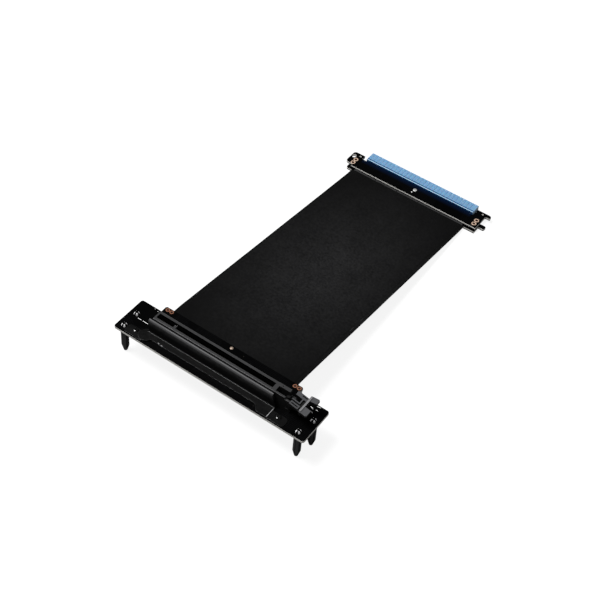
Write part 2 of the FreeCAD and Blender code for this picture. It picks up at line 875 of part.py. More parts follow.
def plug_outline():
    """Outline of the plug board: body, left lug, contact tab and retention hook."""
    left = plug_centre_x - plug_left
    right = plug_centre_x + plug_right
    tab_left = plug_centre_x - card_edge / 2
    tab_right = tab_left + card_edge
    tab_top = shoulder_y + tab_depth
    lug_right = left + plug_lug_width
    hook_left = tab_right + hook_gap_from_tab
    hook_y = plug_front_y + hook_top
    hook_tip = right + hook_reach
    key_left = tab_left + short_edge
    key_right = key_left + key_width
    return [
        (left, plug_front_y + plug_side_step, plug_lug_corner),
        (left + plug_step_x, plug_front_y + plug_side_step),
        (left + plug_step_x, plug_front_y),
        (right, plug_front_y),
        (right, hook_y - hook_finger, hook_inner_corner, "flat"),
        (hook_tip, hook_y - hook_finger),
        (hook_tip, hook_y, hook_corner),
        (hook_left, hook_y),
        (hook_left, shoulder_y),
        (tab_right, shoulder_y),
        (tab_right, tab_top, tab_chamfer, "flat"),
        (key_right, tab_top),
        (key_right, shoulder_y + key_depth_margin),
        (key_left, shoulder_y + key_depth_margin),
        (key_left, tab_top),
        (tab_left, tab_top, tab_chamfer, "flat"),
        (tab_left, shoulder_y),
        (lug_right, shoulder_y),
        (lug_right, plug_front_y + plug_lug_top),
        (left, plug_front_y + plug_lug_top, plug_lug_corner),
    ]


def plug_board():
    """Main board of the plug end."""
    left = plug_centre_x - plug_left
    lug_top = plug_front_y + plug_lug_top
    lug_right = left + plug_lug_width
    board = prism("XY", plug_outline(), plug_board_bottom, plug_board_top)
    hook_y = plug_front_y + hook_top
    holes = [
        (left + plug_lug_hole_x, lug_top - plug_lug_hole_y, plug_lug_hole_r),
        (lug_right - plug_pin_hole_x, lug_top - plug_pin_hole_y, plug_pin_hole_r),
        (plug_centre_x + plug_right - hook_spot_from_side,
         hook_y - hook_finger + hook_spot_from_finger, hook_spot_r),
    ]
    z_span = (plug_board_bottom - cut_margin, plug_board_top + cut_margin)
    cutters = [rod(x, y, *z_span, radius) for x, y, radius in holes]
    cutters += [small_round(x, y, *z_span, plug_eyelet_hole_r) for x, y in plug_eyelet_places()]
    return board.cut(cutters)


def plug_clamp():
    """Lower board of the plug end, with the short finger below the hook."""
    left = plug_centre_x - plug_left + lower_setback
    right = plug_centre_x + plug_right
    front = plug_front_y - lower_overhang
    back = front + lower_back
    finger_low = plug_front_y + lower_finger_start
    finger_high = finger_low + lower_finger_width
    corners = [
        (left, front, lower_corner),
        (right, front),
        (right, finger_low),
        (right + lower_finger_reach, finger_low, lower_finger_chamfer, "flat"),
        (right + lower_finger_reach, finger_high, lower_finger_chamfer, "flat"),
        (right, finger_high),
        (right, back),
        (left, back),
    ]
    return prism("XY", corners, 0, plug_clamp_top)


def plug_fingers(z_low):
    """One row of gold contact fingers on a face of the plug's tab."""
    tab_left = plug_centre_x - card_edge / 2
    tab_top = shoulder_y + tab_depth
    y_span = (tab_top - finger_setback - finger_length, tab_top - finger_setback)
    half = finger_width / 2
    fingers = [block((x - half, x + half), y_span, (z_low, z_low + finger_thickness))
               for x in contact_columns(tab_left)]
    return Part.makeCompound(fingers)


def plug_cap():
    """Protective cap over the contact tab: ribbed hollow sleeve with a groove near its mouth."""
    middle_z = (plug_board_bottom + plug_board_top) / 2
    low = middle_z - cap_height / 2
    high = middle_z + cap_height / 2
    left = plug_centre_x - cap_length / 2
    right = left + cap_length
    back = cap_front_y + cap_depth
    body = prism("YZ", [
        (cap_front_y, low),
        (back, low, cap_chamfer, "flat"),
        (back, high, cap_chamfer, "flat"),
        (cap_front_y, high),
    ], left, right)
    cavity_half = board_thickness / 2 + finger_thickness + cap_clearance
    cavity = block((plug_centre_x - card_edge / 2 - cap_clearance,
                    plug_centre_x + card_edge / 2 + cap_clearance),
                   (cap_front_y - cut_margin, shoulder_y + tab_depth + cap_clearance),
                   (middle_z - cavity_half, middle_z + cavity_half))
    groove_y = cap_front_y + cap_groove_setback
    groove = block((left + cap_groove_margin, right - cap_groove_margin),
                   (groove_y, groove_y + cap_groove_width),
                   (high - cap_groove_depth, high + cut_margin))
    pitch = (cap_length - 2 * cap_groove_margin) / cap_ridge_count
    ridge_y = (groove_y + cap_groove_width + cap_ridge_inset, back - cap_chamfer - cap_ridge_inset)
    valleys = []
    for index in range(cap_ridge_count):
        x = left + cap_groove_margin + pitch * (index + 0.5)
        half = (pitch - cap_ridge_width) / 2
        valleys.append(block((x - half, x + half), ridge_y, (high - cap_ridge_height, high + cut_margin)))
    return body.cut([cavity, groove] + valleys)


def main():
    """Build every node and write it to its own file."""
    os.makedirs("parts", exist_ok=True)
    export("slot_board", slot_board())
    for name, (x, y) in post_places().items():
        export(name, support_post(x, y))
    export("slot_housing", slot_housing())
    export("slot_contacts_front", slot_contacts(-1))
    export("slot_contacts_rear", slot_contacts(1))
    export("slot_latch", slot_latch())
    export("slot_guard", slot_guard())
    for name, (x, y) in rivet_places().items():
        export(name, guard_rivet(x, y))
    export("slot_clamp_board", slot_clamp())
    export("slot_eyelets", eyelets(slot_eyelet_places(), slot_board_top,
                                   slot_eyelet_hole_r, slot_eyelet_flange_r))
    export("slot_solder_point", slot_solder_point())
    export("cable_wrap", cable_wrap())
    for index, cable in enumerate(flat_cables()):
        export("flat_cable_" + str(index + 1), cable)
    export("plug_board", plug_board())
    export("plug_clamp_board", plug_clamp())
    export("plug_eyelets", eyelets(plug_eyelet_places(), plug_board_top,
                                   plug_eyelet_hole_r, plug_eyelet_flange_r))
    export("plug_solder_points", plug_solder_points())
    export("plug_fingers_top", plug_fingers(plug_board_top))
    export("plug_fingers_bottom", plug_fingers(plug_board_bottom - finger_thickness))
    export("plug_cap", plug_cap())


main()
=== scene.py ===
"""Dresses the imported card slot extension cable: finishes, fine pieces, light and camera.

Lengths in the classes are millimetres in the frame of the part; MM turns them into metres
when a mesh is made. +X runs along the slot towards its latch, +Y from slot to plug, +Z up.
"""

import logging
import math
from dataclasses import dataclass
from enum import Enum
from typing import Callable, Iterable, Optional, Sequence

import bmesh
import bpy
from mathutils import Matrix, Vector, noise


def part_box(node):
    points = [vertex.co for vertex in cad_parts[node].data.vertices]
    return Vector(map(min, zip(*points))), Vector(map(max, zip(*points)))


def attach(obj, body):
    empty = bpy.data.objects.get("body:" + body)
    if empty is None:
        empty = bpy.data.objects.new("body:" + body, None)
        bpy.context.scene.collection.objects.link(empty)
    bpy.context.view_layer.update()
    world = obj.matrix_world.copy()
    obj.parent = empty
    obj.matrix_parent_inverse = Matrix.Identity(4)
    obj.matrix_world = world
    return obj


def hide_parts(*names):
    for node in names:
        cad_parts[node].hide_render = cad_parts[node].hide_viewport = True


MM = 0.001
LOG = logging.getLogger("dress")
Pair = tuple[float, float]
Triple = Point = tuple[float, float, float]
Piece = bpy.types.Object
Shape = bmesh.types.BMesh
Node = bpy.types.Node
Socket = bpy.types.NodeSocket
Tree = bpy.types.NodeTree

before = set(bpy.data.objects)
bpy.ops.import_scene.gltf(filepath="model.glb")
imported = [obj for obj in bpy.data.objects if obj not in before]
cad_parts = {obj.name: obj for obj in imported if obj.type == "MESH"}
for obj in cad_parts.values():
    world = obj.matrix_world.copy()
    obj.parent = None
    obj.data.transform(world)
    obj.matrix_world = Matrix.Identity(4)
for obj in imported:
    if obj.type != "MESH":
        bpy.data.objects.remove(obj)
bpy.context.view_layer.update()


class Body(Enum):
    """Bodies of the part that a piece can ride on."""

    EXTENSION = "extension"
    LATCH = "latch"


class Slot(Enum):
    """Material slots of the record that a piece takes its finish from."""

    BOARD = "circuit_board"
    NYLON = "nylon"
    CONNECTOR = "connector_plastic"
    GUARD = "guard_plastic"
    GOLD = "gold_plate"
    COPPER = "copper"
    SOLDER = "solder"
    CLOTH = "cloth"
    JACKET = "cable_jacket"
    CAP = "cap_plastic"


# ---- shader node groups


class NodeSheet:
    """Small writer for a node tree, which lays out nodes and links them by name."""

    def __init__(self, tree: Tree) -> None:
        """Start on an empty tree.

        Args:
            tree: Shader or geometry node tree to fill.
        """
        self.tree = tree
        self.tree.nodes.clear()

    def add(self, kind: str, links: Optional[dict] = None, **settings: object) -> Node:
        """Add one node.

        Args:
            kind: Blender's class name of the node.
            links: Input name or index to a value or to another node's output socket.
            **settings: Properties to set on the node.

        Returns:
            The new node.
        """
        node = self.tree.nodes.new(kind)
        for name, value in settings.items():
            setattr(node, name, value)
        for key, value in (links or {}).items():
            if isinstance(value, Socket):
                self.tree.links.new(value, node.inputs[key])
            else:
                node.inputs[key].default_value = value
        return node

    def math(self, operation: str, *terms: object) -> Socket:
        """Add a Math node on numbers or sockets and return its output."""
        links = dict(enumerate(terms))
        return self.add("ShaderNodeMath", links, operation=operation).outputs[0]

    def mix(self, factor: object, first: object, second: object) -> Socket:
        """Mix two colours and return the result.

        Args:
            factor: Number or socket, 0 for the first colour and 1 for the second.
            first: First colour, as four numbers or a socket.
            second: Second colour, as four numbers or a socket.

        Returns:
            The colour output.
        """
        node = self.add("ShaderNodeMix", {0: factor, 6: first, 7: second}, data_type="RGBA")
        return node.outputs[2]

    def place(self) -> Socket:
        """Return the object's own coordinates."""
        return self.add("ShaderNodeTexCoord").outputs["Object"]

    def axes(self) -> list[Socket]:
        """Return x, y and z of the object's own coordinates."""
        return list(self.add("ShaderNodeSeparateXYZ", {0: self.place()}).outputs)


def shader_group(name: str, inputs: Sequence[tuple[str, str, object]],
                 outputs: Sequence[tuple[str, str]],
                 fill: Callable[[NodeSheet, Node], dict]) -> Tree:
    """Build a shader node group once and return it.

    Args:
        name: Name of the group.
        inputs: Name, socket type and default value of each input.
        outputs: Name and socket type of each output.
        fill: Writes the nodes and returns the socket for each output name.

    Returns:
        The node group.
    """
    if name in bpy.data.node_groups:
        return bpy.data.node_groups[name]
    tree = bpy.data.node_groups.new(name, "ShaderNodeTree")
    for label, kind, value in inputs:
        tree.interface.new_socket(label, in_out="INPUT", socket_type=kind).default_value = value
    for label, kind in outputs:
        tree.interface.new_socket(label, in_out="OUTPUT", socket_type=kind)
    sheet = NodeSheet(tree)
    entry = sheet.add("NodeGroupInput")
    sockets = fill(sheet, entry)
    sheet.add("NodeGroupOutput", sockets)
    return tree


def grain_group() -> Tree:
    """Return the group for moulded or coated surfaces: cloudy colour, mixed gloss, fine grain."""

    def fill(sheet: NodeSheet, entry: Node) -> dict:
        """Write the nodes; cloud drives colour and gloss, grain drives height."""
        place = sheet.place()
        cloud = sheet.add("ShaderNodeTexNoise", {"Vector": place, "Scale": entry.outputs["Cloud Scale"],
                                                 "Detail": 4.0, "Roughness": 0.6}).outputs[0]
        grain = sheet.add("ShaderNodeTexNoise", {"Vector": place, "Scale": entry.outputs["Grain Scale"],
                                                 "Detail": 2.0, "Roughness": 0.7}).outputs[0]
        swing = sheet.math("SUBTRACT", cloud, 0.5)
        both = sheet.math("ADD", swing, sheet.math("MULTIPLY", sheet.math("SUBTRACT", grain, 0.5), 0.7))
        tone = sheet.math("ADD", 1.0, sheet.math("MULTIPLY", both, entry.outputs["Spread"]))
        shade = sheet.add("ShaderNodeVectorMath", {0: entry.outputs["Color"], 3: tone}, operation="SCALE")
        gloss = sheet.math("MULTIPLY_ADD", swing, entry.outputs["Gloss Spread"], entry.outputs["Roughness"])
        return {"Color": shade.outputs[0], "Roughness": gloss, "Height": grain}

    return shader_group(
        "surface_grain",
        [("Color", "NodeSocketColor", (0.5, 0.5, 0.5, 1)), ("Spread", "NodeSocketFloat", 0.4),
         ("Cloud Scale", "NodeSocketFloat", 60.0), ("Grain Scale", "NodeSocketFloat", 2500.0),
         ("Roughness", "NodeSocketFloat", 0.5), ("Gloss Spread", "NodeSocketFloat", 0.2)],
        [("Color", "NodeSocketColor"), ("Roughness", "NodeSocketFloat"), ("Height", "NodeSocketFloat")],
        fill)


def weave_group() -> Tree:
    """Return the group for cloth: a plain weave of two thread directions with mottled tone, dimmed away from the
    middle by a painted pool of light.
    """

    def fill(sheet: NodeSheet, entry: Node) -> dict:
        """Write the nodes; the threads' sines give height, two noises give tone, and a painted pool of light
        scales the colour.
        """
        place = sheet.place()
        wobble = sheet.add("ShaderNodeTexNoise", {"Vector": place, "Scale": 500.0, "Detail": 1.0})
        offset = sheet.add("ShaderNodeVectorMath", {0: wobble.outputs[1], 3: 0.00018}, operation="SCALE")
        moved = sheet.add("ShaderNodeVectorMath", {0: place, 1: offset.outputs[0]}).outputs[0]
        parts = sheet.add("ShaderNodeSeparateXYZ", {0: moved})
        turns = sheet.math("DIVIDE", math.tau, entry.outputs["Pitch"])
        across = sheet.math("SINE", sheet.math("MULTIPLY", parts.outputs[0], turns))
        along = sheet.math("SINE", sheet.math("MULTIPLY", parts.outputs[1], turns))
        weave = sheet.math("MULTIPLY_ADD", sheet.math("MULTIPLY", across, along), 0.5, 0.5)
        cloud = sheet.add("ShaderNodeTexNoise", {"Vector": place, "Scale": entry.outputs["Mottle Scale"],
                                                 "Detail": 6.0, "Roughness": 0.65}).outputs[0]
        lint = sheet.add("ShaderNodeTexNoise", {"Vector": place, "Scale": 620.0, "Detail": 4.0,
                                                "Roughness": 0.7}).outputs[0]
        tone = sheet.math("ADD", sheet.math("MULTIPLY", sheet.math("SUBTRACT", cloud, 0.5),
                                            entry.outputs["Mottle"]), weave)
        tone = sheet.math("ADD", tone, sheet.math("MULTIPLY", sheet.math("SUBTRACT", lint, 0.5), 2.2))
        tone = sheet.add("ShaderNodeClamp", {0: tone}).outputs[0]
        color = sheet.mix(tone, entry.outputs["Low"], entry.outputs["High"])
        # Painted light: the colour is scaled from bright around the middle of the part to dark towards the
        # sleeve's ends and sides, as a pool of light.
        pool_stretch = sheet.add("ShaderNodeVectorMath", {0: place, 1: (11.5, 6.8, 0.0)}, operation="MULTIPLY")
        pool_distance = sheet.add("ShaderNodeVectorMath", {0: pool_stretch.outputs[0]}, operation="LENGTH").outputs["Value"]
        light_falloff = sheet.add("ShaderNodeMapRange", {0: pool_distance, 1: 0.1, 2: 0.78, 3: 1.15, 4: 0.12})
        color = sheet.add("ShaderNodeVectorMath", {0: color, 3: light_falloff.outputs[0]}, operation="SCALE").outputs[0]
        rough = sheet.math("MULTIPLY_ADD", lint, 0.15, 0.8)
        return {"Color": color, "Roughness": rough, "Height": weave}

    return shader_group(
        "cloth_weave",
        [("Low", "NodeSocketColor", (0.01, 0.01, 0.01, 1)), ("High", "NodeSocketColor", (0.02, 0.02, 0.02, 1)),
         ("Pitch", "NodeSocketFloat", 0.0005), ("Mottle", "NodeSocketFloat", 1.2),
         ("Mottle Scale", "NodeSocketFloat", 70.0)],
        [("Color", "NodeSocketColor"), ("Roughness", "NodeSocketFloat"), ("Height", "NodeSocketFloat")],
        fill)


def trace_group() -> Tree:
    """Return the group for a board's face: conductor lines under the mask, and small vias."""

    def fill(sheet: NodeSheet, entry: Node) -> dict:
        """Write the nodes; a stretched brick pattern gives the lines, cells give the vias."""
        place = sheet.place()
        lines = sheet.add("ShaderNodeTexBrick", {
            "Vector": place, "Color1": (0, 0, 0, 1), "Color2": (0, 0, 0, 1), "Mortar": (1, 1, 1, 1),
            "Scale": 1.0, "Mortar Size": 0.00016, "Brick Width": 0.011, "Row Height": 0.0011},
            offset=0.37)
        patch = sheet.add("ShaderNodeTexNoise", {"Vector": place, "Scale": 55.0, "Detail": 1.0}).outputs[0]
        zone = sheet.math("GREATER_THAN", patch, 0.5)
        trace = sheet.math("MULTIPLY", lines.outputs[0], zone)
        cells = sheet.add("ShaderNodeTexVoronoi", {"Vector": place, "Scale": 210.0, "Randomness": 0.85})
        via = sheet.math("LESS_THAN", cells.outputs["Distance"], 0.07)
        ring = sheet.math("MULTIPLY", via, sheet.math("SUBTRACT", 1.0, zone))
        height = sheet.math("ADD", trace, ring)
        tint = sheet.mix(sheet.math("MULTIPLY", trace, 0.6), entry.outputs["Mask"], entry.outputs["Copper"])
        color = sheet.mix(ring, tint, entry.outputs["Via"])
        return {"Color": color, "Height": height}

    return shader_group(
        "board_traces",
        [("Mask", "NodeSocketColor", (0.003, 0.003, 0.003, 1)),
         ("Copper", "NodeSocketColor", (0.006, 0.006, 0.007, 1)),
         ("Via", "NodeSocketColor", (0.02, 0.02, 0.018, 1))],
        [("Color", "NodeSocketColor"), ("Height", "NodeSocketFloat")],
        fill)


# ---- finishes


@dataclass(frozen=True)
class Finish:
    """A procedural material built on one Principled shader."""

    name: str
    color: Triple
    roughness: float = 0.5
    specular: float = 0.5
    metallic: float = 0.0
    bump: float = 0.1
    bump_depth: float = 0.02

    def material(self) -> bpy.types.Material:
        """Return the material, and build it on the first call."""
        found = bpy.data.materials.get(self.name)
        if found:
            return found
        made = bpy.data.materials.new(self.name)
        made.use_nodes = True
        sheet = NodeSheet(made.node_tree)
        shader = sheet.add("ShaderNodeBsdfPrincipled")
        shader.inputs["Metallic"].default_value = self.metallic
        shader.inputs["Specular IOR Level"].default_value = self.specular
        sheet.add("ShaderNodeOutputMaterial", {"Surface": shader.outputs[0]})
        self.dress(sheet, shader)
        return made

    def dress(self, sheet: NodeSheet, shader: Node) -> None:
        """Link colour, roughness and bump to the shader.

        Args:
            sheet: Writer on the material's tree.
            shader: The Principled shader.
        """
        raise NotImplementedError

    def link(self, sheet: NodeSheet, shader: Node, group: Node, height: Socket) -> None:
        """Feed a group's colour and gloss, and a height through a Bump node, to the shader.

        Args:
            sheet: Writer on the material's tree.
            shader: The Principled shader.
            group: Placed group with colour and gloss.
            height: Source of the bump.
        """
        bump = sheet.add("ShaderNodeBump", {"Strength": self.bump, "Distance": self.bump_depth * MM,
                                            "Height": height})
        for source, target in ((group.outputs["Color"], "Base Color"),
                               (group.outputs["Roughness"], "Roughness"),
                               (bump.outputs[0], "Normal")):
            sheet.tree.links.new(source, shader.inputs[target])

    def place_group(self, sheet: NodeSheet, tree: Tree, values: dict) -> Node:
        """Place a shared group with this material's own values."""
        return sheet.add("ShaderNodeGroup", values, node_tree=tree)


@dataclass(frozen=True)
class Moulded(Finish):
    """Moulded plastic, plating or solder with a cloudy tone and a fine grain."""

    spread: float = 0.5
    cloud_scale: float = 70.0
    grain_scale: float = 2600.0
    gloss_spread: float = 0.25

    def dress(self, sheet: NodeSheet, shader: Node) -> None:
        """Link the grain group to the shader."""
        grain = self.place_group(sheet, grain_group(), {
            "Color": (*self.color, 1), "Spread": self.spread, "Cloud Scale": self.cloud_scale,
            "Grain Scale": self.grain_scale, "Roughness": self.roughness,
            "Gloss Spread": self.gloss_spread})
        self.link(sheet, shader, grain, grain.outputs["Height"])


@dataclass(frozen=True)
class LitTowardsTop(Moulded):
    """Moulded plastic with painted light: it grows paler towards a height, standing in for the highlight
    spreading down from a shoulder.
    """

    high: Triple = (0.035, 0.035, 0.036)
    pale_from: float = 28.0
    pale_to: float = 31.6

    def dress(self, sheet: NodeSheet, shader: Node) -> None:
        """Link the grain group, with a painted tone of light by height under it."""
        super().dress(sheet, shader)
        height = sheet.axes()[2]
        share = sheet.add("ShaderNodeMapRange", {0: height, 1: self.pale_from * MM, 2: self.pale_to * MM})
        tone = sheet.mix(share.outputs[0], (*self.color, 1), (*self.high, 1))
        grain = shader.inputs["Base Color"].links[0].from_node
        sheet.tree.links.new(tone, grain.inputs["Color"])


@dataclass(frozen=True)
class ClearBlue(Moulded):
    """Soft clear blue plastic, with a pale thin lip, a darker band of painted shade behind the lip and a darker
    band at the rim.
    """

    coat: float = 0.3
    subsurface: float = 0.15
    lip: Triple = (0.34, 0.54, 0.72)
    band: Triple = (0.03, 0.09, 0.2)
    lip_to: float = 117.4
    band_to: float = 118.4
    rim_from: float = 125.2

    def dress(self, sheet: NodeSheet, shader: Node) -> None:
        """Link the grain group, with the bands under it, and add a thin coat and some depth."""
        super().dress(sheet, shader)
        # Painted shade: the darker band behind the lip stands in for the shade of the groove.
        along = sheet.axes()[1]
        inside = sheet.math("LESS_THAN", along, self.band_to * MM)
        outside = sheet.math("GREATER_THAN", along, self.rim_from * MM)
        dark = sheet.math("ADD", inside, sheet.math("MULTIPLY", outside, 0.6))
        tone = sheet.mix(dark, (*self.color, 1), (*self.band, 1))
        tone = sheet.mix(sheet.math("LESS_THAN", along, self.lip_to * MM), tone, (*self.lip, 1))
        grain = shader.inputs["Base Color"].links[0].from_node
        sheet.tree.links.new(tone, grain.inputs["Color"])
        shader.inputs["Coat Weight"].default_value = self.coat
        shader.inputs["Coat Roughness"].default_value = 0.15
        shader.inputs["Subsurface Weight"].default_value = self.subsurface
        shader.inputs["Subsurface Scale"].default_value = 0.002


@dataclass(frozen=True)
class Woven(Finish):
    """Cloth with a plain weave, a mottled tone and a painted pool of light."""

    high: Triple = (0.02, 0.02, 0.02)
    pitch: float = 0.55
    mottle: float = 1.3
    sheen: float = 0.1

    def dress(self, sheet: NodeSheet, shader: Node) -> None:
        """Link the weave group to the shader and add sheen."""
        weave = self.place_group(sheet, weave_group(), {
            "Low": (*self.color, 1), "High": (*self.high, 1), "Pitch": self.pitch * MM,
            "Mottle": self.mottle})
        shader.inputs["Sheen Weight"].default_value = self.sheen
        shader.inputs["Sheen Roughness"].default_value = 0.5
        self.link(sheet, shader, weave, weave.outputs["Height"])


@dataclass(frozen=True)
class SolderMask(Finish):
    """Black solder mask with conductor lines and vias under it, and painted blue light from the clear cap on the
    mask in front of it.
    """

    trace: Triple = (0.008, 0.008, 0.009)
    via: Triple = (0.03, 0.028, 0.024)
    # Painted light: tint is the blue light that the clear cap throws on the mask in front of it.
    tint: Triple = (0.0018, 0.007, 0.026)
    cap_light_from: float = 112.5
    cap_light_to: float = 117.5
    cap_light_width: float = 45.0

    def dress(self, sheet: NodeSheet, shader: Node) -> None:
        """Link the trace group, with the grain group's gloss over it and the painted blue light mixed into the
        colour.
        """
        traces = self.place_group(sheet, trace_group(), {
            "Mask": (*self.color, 1), "Copper": (*self.trace, 1), "Via": (*self.via, 1)})
        grain = self.place_group(sheet, grain_group(), {
            "Spread": 0.5, "Cloud Scale": 45.0, "Grain Scale": 1800.0,
            "Roughness": self.roughness, "Gloss Spread": 0.2})
        place = sheet.place()
        parts = sheet.add("ShaderNodeSeparateXYZ", {0: place})
        glow = sheet.add("ShaderNodeMapRange", {0: parts.outputs[1], 1: self.cap_light_from * MM,
                                                2: self.cap_light_to * MM}).outputs[0]
        beside = sheet.math("LESS_THAN", sheet.math("ABSOLUTE", parts.outputs[0]), self.cap_light_width * MM)
        blue = sheet.mix(sheet.math("MULTIPLY", glow, beside), traces.outputs["Color"], (*self.tint, 1))
        sheet.tree.links.new(blue, grain.inputs["Color"])
        self.link(sheet, shader, grain, traces.outputs["Height"])


@dataclass(frozen=True)
class Laminate(Finish):
    """Cut edge of a glass laminate: pale layers with thin darker lines between them."""

    bottom: float = 0.0
    line: Triple = (0.5, 0.48, 0.42)
    low: Triple = (0.01, 0.009, 0.008)
    low_share: float = 0.42
    thickness: float = 1.6

    def dress(self, sheet: NodeSheet, shader: Node) -> None:
        """Link layer lines by height and the grain group to the shader."""
        height = sheet.axes()[2]
        share = sheet.math("DIVIDE", sheet.math("SUBTRACT", height, self.bottom * MM),
                           self.thickness * MM)
        layer = sheet.math("FRACT", sheet.math("MULTIPLY", share, 5.0))
        line = sheet.math("LESS_THAN", layer, 0.14)
        pale = sheet.mix(line, (*self.color, 1), (*self.line, 1))
        color = sheet.mix(sheet.math("LESS_THAN", share, self.low_share), pale, (*self.low, 1))
        grain = self.place_group(sheet, grain_group(), {
            "Spread": 0.35, "Cloud Scale": 400.0, "Grain Scale": 5000.0,
            "Roughness": self.roughness, "Gloss Spread": 0.15})
        sheet.tree.links.new(color, grain.inputs["Color"])
        self.link(sheet, shader, grain, grain.outputs["Height"])


MASK = SolderMask("black_mask", (0.0012, 0.0012, 0.0013), roughness=0.24, specular=0.05, bump=0.06,
                  trace=(0.004, 0.004, 0.0045), via=(0.02, 0.018, 0.015))
HOUSING = Moulded("housing_plastic", (0.031, 0.031, 0.032), roughness=0.45, specular=0.2, spread=0.35)
# Painted shade inside the card gap and the housing's cavities.
RECESS_SHADE = Moulded("housing_recess", (0.0008, 0.0008, 0.0008), roughness=0.7, specular=0.0)
# Painted highlight on the housing's rounded edges.
HOUSING_EDGE_HIGHLIGHT = Moulded("housing_edge_wear", (0.075, 0.075, 0.077), roughness=0.4, specular=0.4)
# Painted shade on the housing's upright faces.
HOUSING_SIDE_SHADE = Moulded("housing_side", (0.007, 0.007, 0.007), roughness=0.5, specular=0.15)
# Painted shade on the latch's upright faces and low floors.
LATCH_SHADE = Moulded("latch_side", (0.005, 0.005, 0.005), roughness=0.5, specular=0.2)
# Painted highlight on the guard's rounded shoulder.
RIDGE_HIGHLIGHT = Moulded("guard_ridge", (0.05, 0.05, 0.052), roughness=0.5, specular=0.3, spread=0.4)
# Painted glints on the guard's flange and a painted highlight along its foot's end.
GLINT = Moulded("rubbed_edge", (0.33, 0.33, 0.335), roughness=0.4, specular=0.5)
LATCH = Moulded("latch_plastic", (0.066, 0.067, 0.071), roughness=0.42, specular=0.25, spread=0.3)
# Painted highlight on the latch's rounded edges and the top of its bar.
LATCH_HIGHLIGHT = Moulded("latch_edge_wear", (0.17, 0.17, 0.175), roughness=0.4, specular=0.5)
# Painted light: the guard's wall grows paler towards its shoulder.
GUARD = LitTowardsTop("guard_plastic_black", (0.0036, 0.0036, 0.0036), roughness=0.36, specular=0.1,
                  spread=1.6, cloud_scale=420.0, bump=0.2)
# Painted highlight on the guard's rounded edges.
GUARD_EDGE_HIGHLIGHT = Moulded("guard_edge_wear", (0.016, 0.016, 0.017), roughness=0.35, specular=0.4)
RIVET = Moulded("rivet_nylon", (0.004, 0.004, 0.004), roughness=0.12, specular=0.7, cloud_scale=300.0)
NYLON = Moulded("post_nylon", (0.034, 0.034, 0.035), roughness=0.4, specular=0.4, cloud_scale=180.0)
# Painted shade on the rounded edges between the flats of the posts.
NYLON_EDGE_SHADE = Moulded("post_nylon_edge", (0.0025, 0.0025, 0.0026), roughness=0.4, specular=0.2)
TIP = Moulded("post_tip_nylon", (0.002, 0.002, 0.002), roughness=0.15, specular=0.6, cloud_scale=180.0)
# Painted glints on the barbs of the posts' snap tips.
TIP_GLINT = Moulded("post_tip_stress", (0.75, 0.75, 0.76), roughness=0.4, specular=0.5, cloud_scale=900.0)
GOLD = Moulded("contact_gold", (0.83, 0.6, 0.26), roughness=0.28, metallic=1.0, spread=0.25,
               cloud_scale=300.0, bump=0.03)
# Painted shade: the contacts' gold is darkened as they sit deep in the slot.
SPRING_IN_SHADE = Moulded("spring_gold", (0.03, 0.022, 0.011), roughness=0.55, metallic=1.0, spread=0.5,
                 cloud_scale=300.0, bump=0.03)
COPPER = Moulded("ring_copper", (0.9, 0.66, 0.5), roughness=0.45, metallic=0.4, spread=0.5,
                 cloud_scale=900.0, bump=0.1)
COPPER_DULL = Moulded("ring_copper_dull", (0.26, 0.11, 0.06), roughness=0.5, metallic=0.4, spread=1.1,
                      cloud_scale=900.0, bump=0.1)
PLATING = Moulded("hole_plating", (0.05, 0.02, 0.012), roughness=0.5, metallic=0.3, spread=0.6,
                  cloud_scale=900.0)
SOLDER = Moulded("dull_solder", (0.7, 0.7, 0.68), roughness=0.4, metallic=0.6, spread=0.35,
                 cloud_scale=1200.0, bump=0.3)
SOLDER_DULL = Moulded("tarnished_solder", (0.36, 0.28, 0.22), roughness=0.45, metallic=0.5, spread=0.8,
                      cloud_scale=1200.0, bump=0.3)
INK = Moulded("white_ink", (0.75, 0.75, 0.74), roughness=0.6, specular=0.3, spread=0.5,
              cloud_scale=1500.0)
JACKET = Moulded("flat_cable_jacket", (0.02, 0.02, 0.021), roughness=0.55, specular=0.4)
CLOTH = Woven("cloth_sleeve", (0.0015, 0.0015, 0.0017), high=(0.0165, 0.0165, 0.017), specular=0.1,
              sheen=0.02, mottle=0.9, bump=0.6, bump_depth=0.1)
CAP = ClearBlue("cap_clear_blue", (0.18, 0.35, 0.555), roughness=0.28, specular=0.4, spread=0.12,
                cloud_scale=60.0, gloss_spread=0.15, bump=0.05)
# Painted highlight on the cap's end face, with the pale lip; painted shade in the groove, on the side walls of
# the ribs and in the mouth.
CAP_LIP_AND_HIGHLIGHT = Moulded("cap_thin_lip", (0.42, 0.62, 0.8), roughness=0.3, specular=0.4, spread=0.12)
CAP_SHADE = Moulded("cap_groove", (0.03, 0.09, 0.22), roughness=0.4, specular=0.2, spread=0.3)
CAP_MOUTH_SHADE = Moulded("cap_mouth", (0.006, 0.045, 0.14), roughness=0.4, specular=0.2, spread=0.3)


# ---- meshes


def object_from(name: str, mesh: bpy.types.Mesh) -> Piece:
    """Put a mesh in the scene as an object at the origin."""
    made = bpy.data.objects.new(name, mesh)
    bpy.context.scene.collection.objects.link(made)
    return made


def from_bmesh(name: str, shape: Shape) -> Piece:
    """Turn a shape in millimetres into an object in metres, and free the shape."""
    bmesh.ops.scale(shape, vec=(MM, MM, MM), verts=shape.verts)
    mesh = bpy.data.meshes.new(name)
    shape.to_mesh(mesh)
    shape.free()
    return object_from(name, mesh)


def applied(piece: Piece) -> Piece:
    """Replace an object's mesh by its evaluated one and drop its modifiers."""
    graph = bpy.context.evaluated_depsgraph_get()
    graph.update()
    mesh = bpy.data.meshes.new_from_object(piece.evaluated_get(graph), depsgraph=graph)
    piece.modifiers.clear()
    piece.data = mesh
    mesh.name = piece.name
    return piece


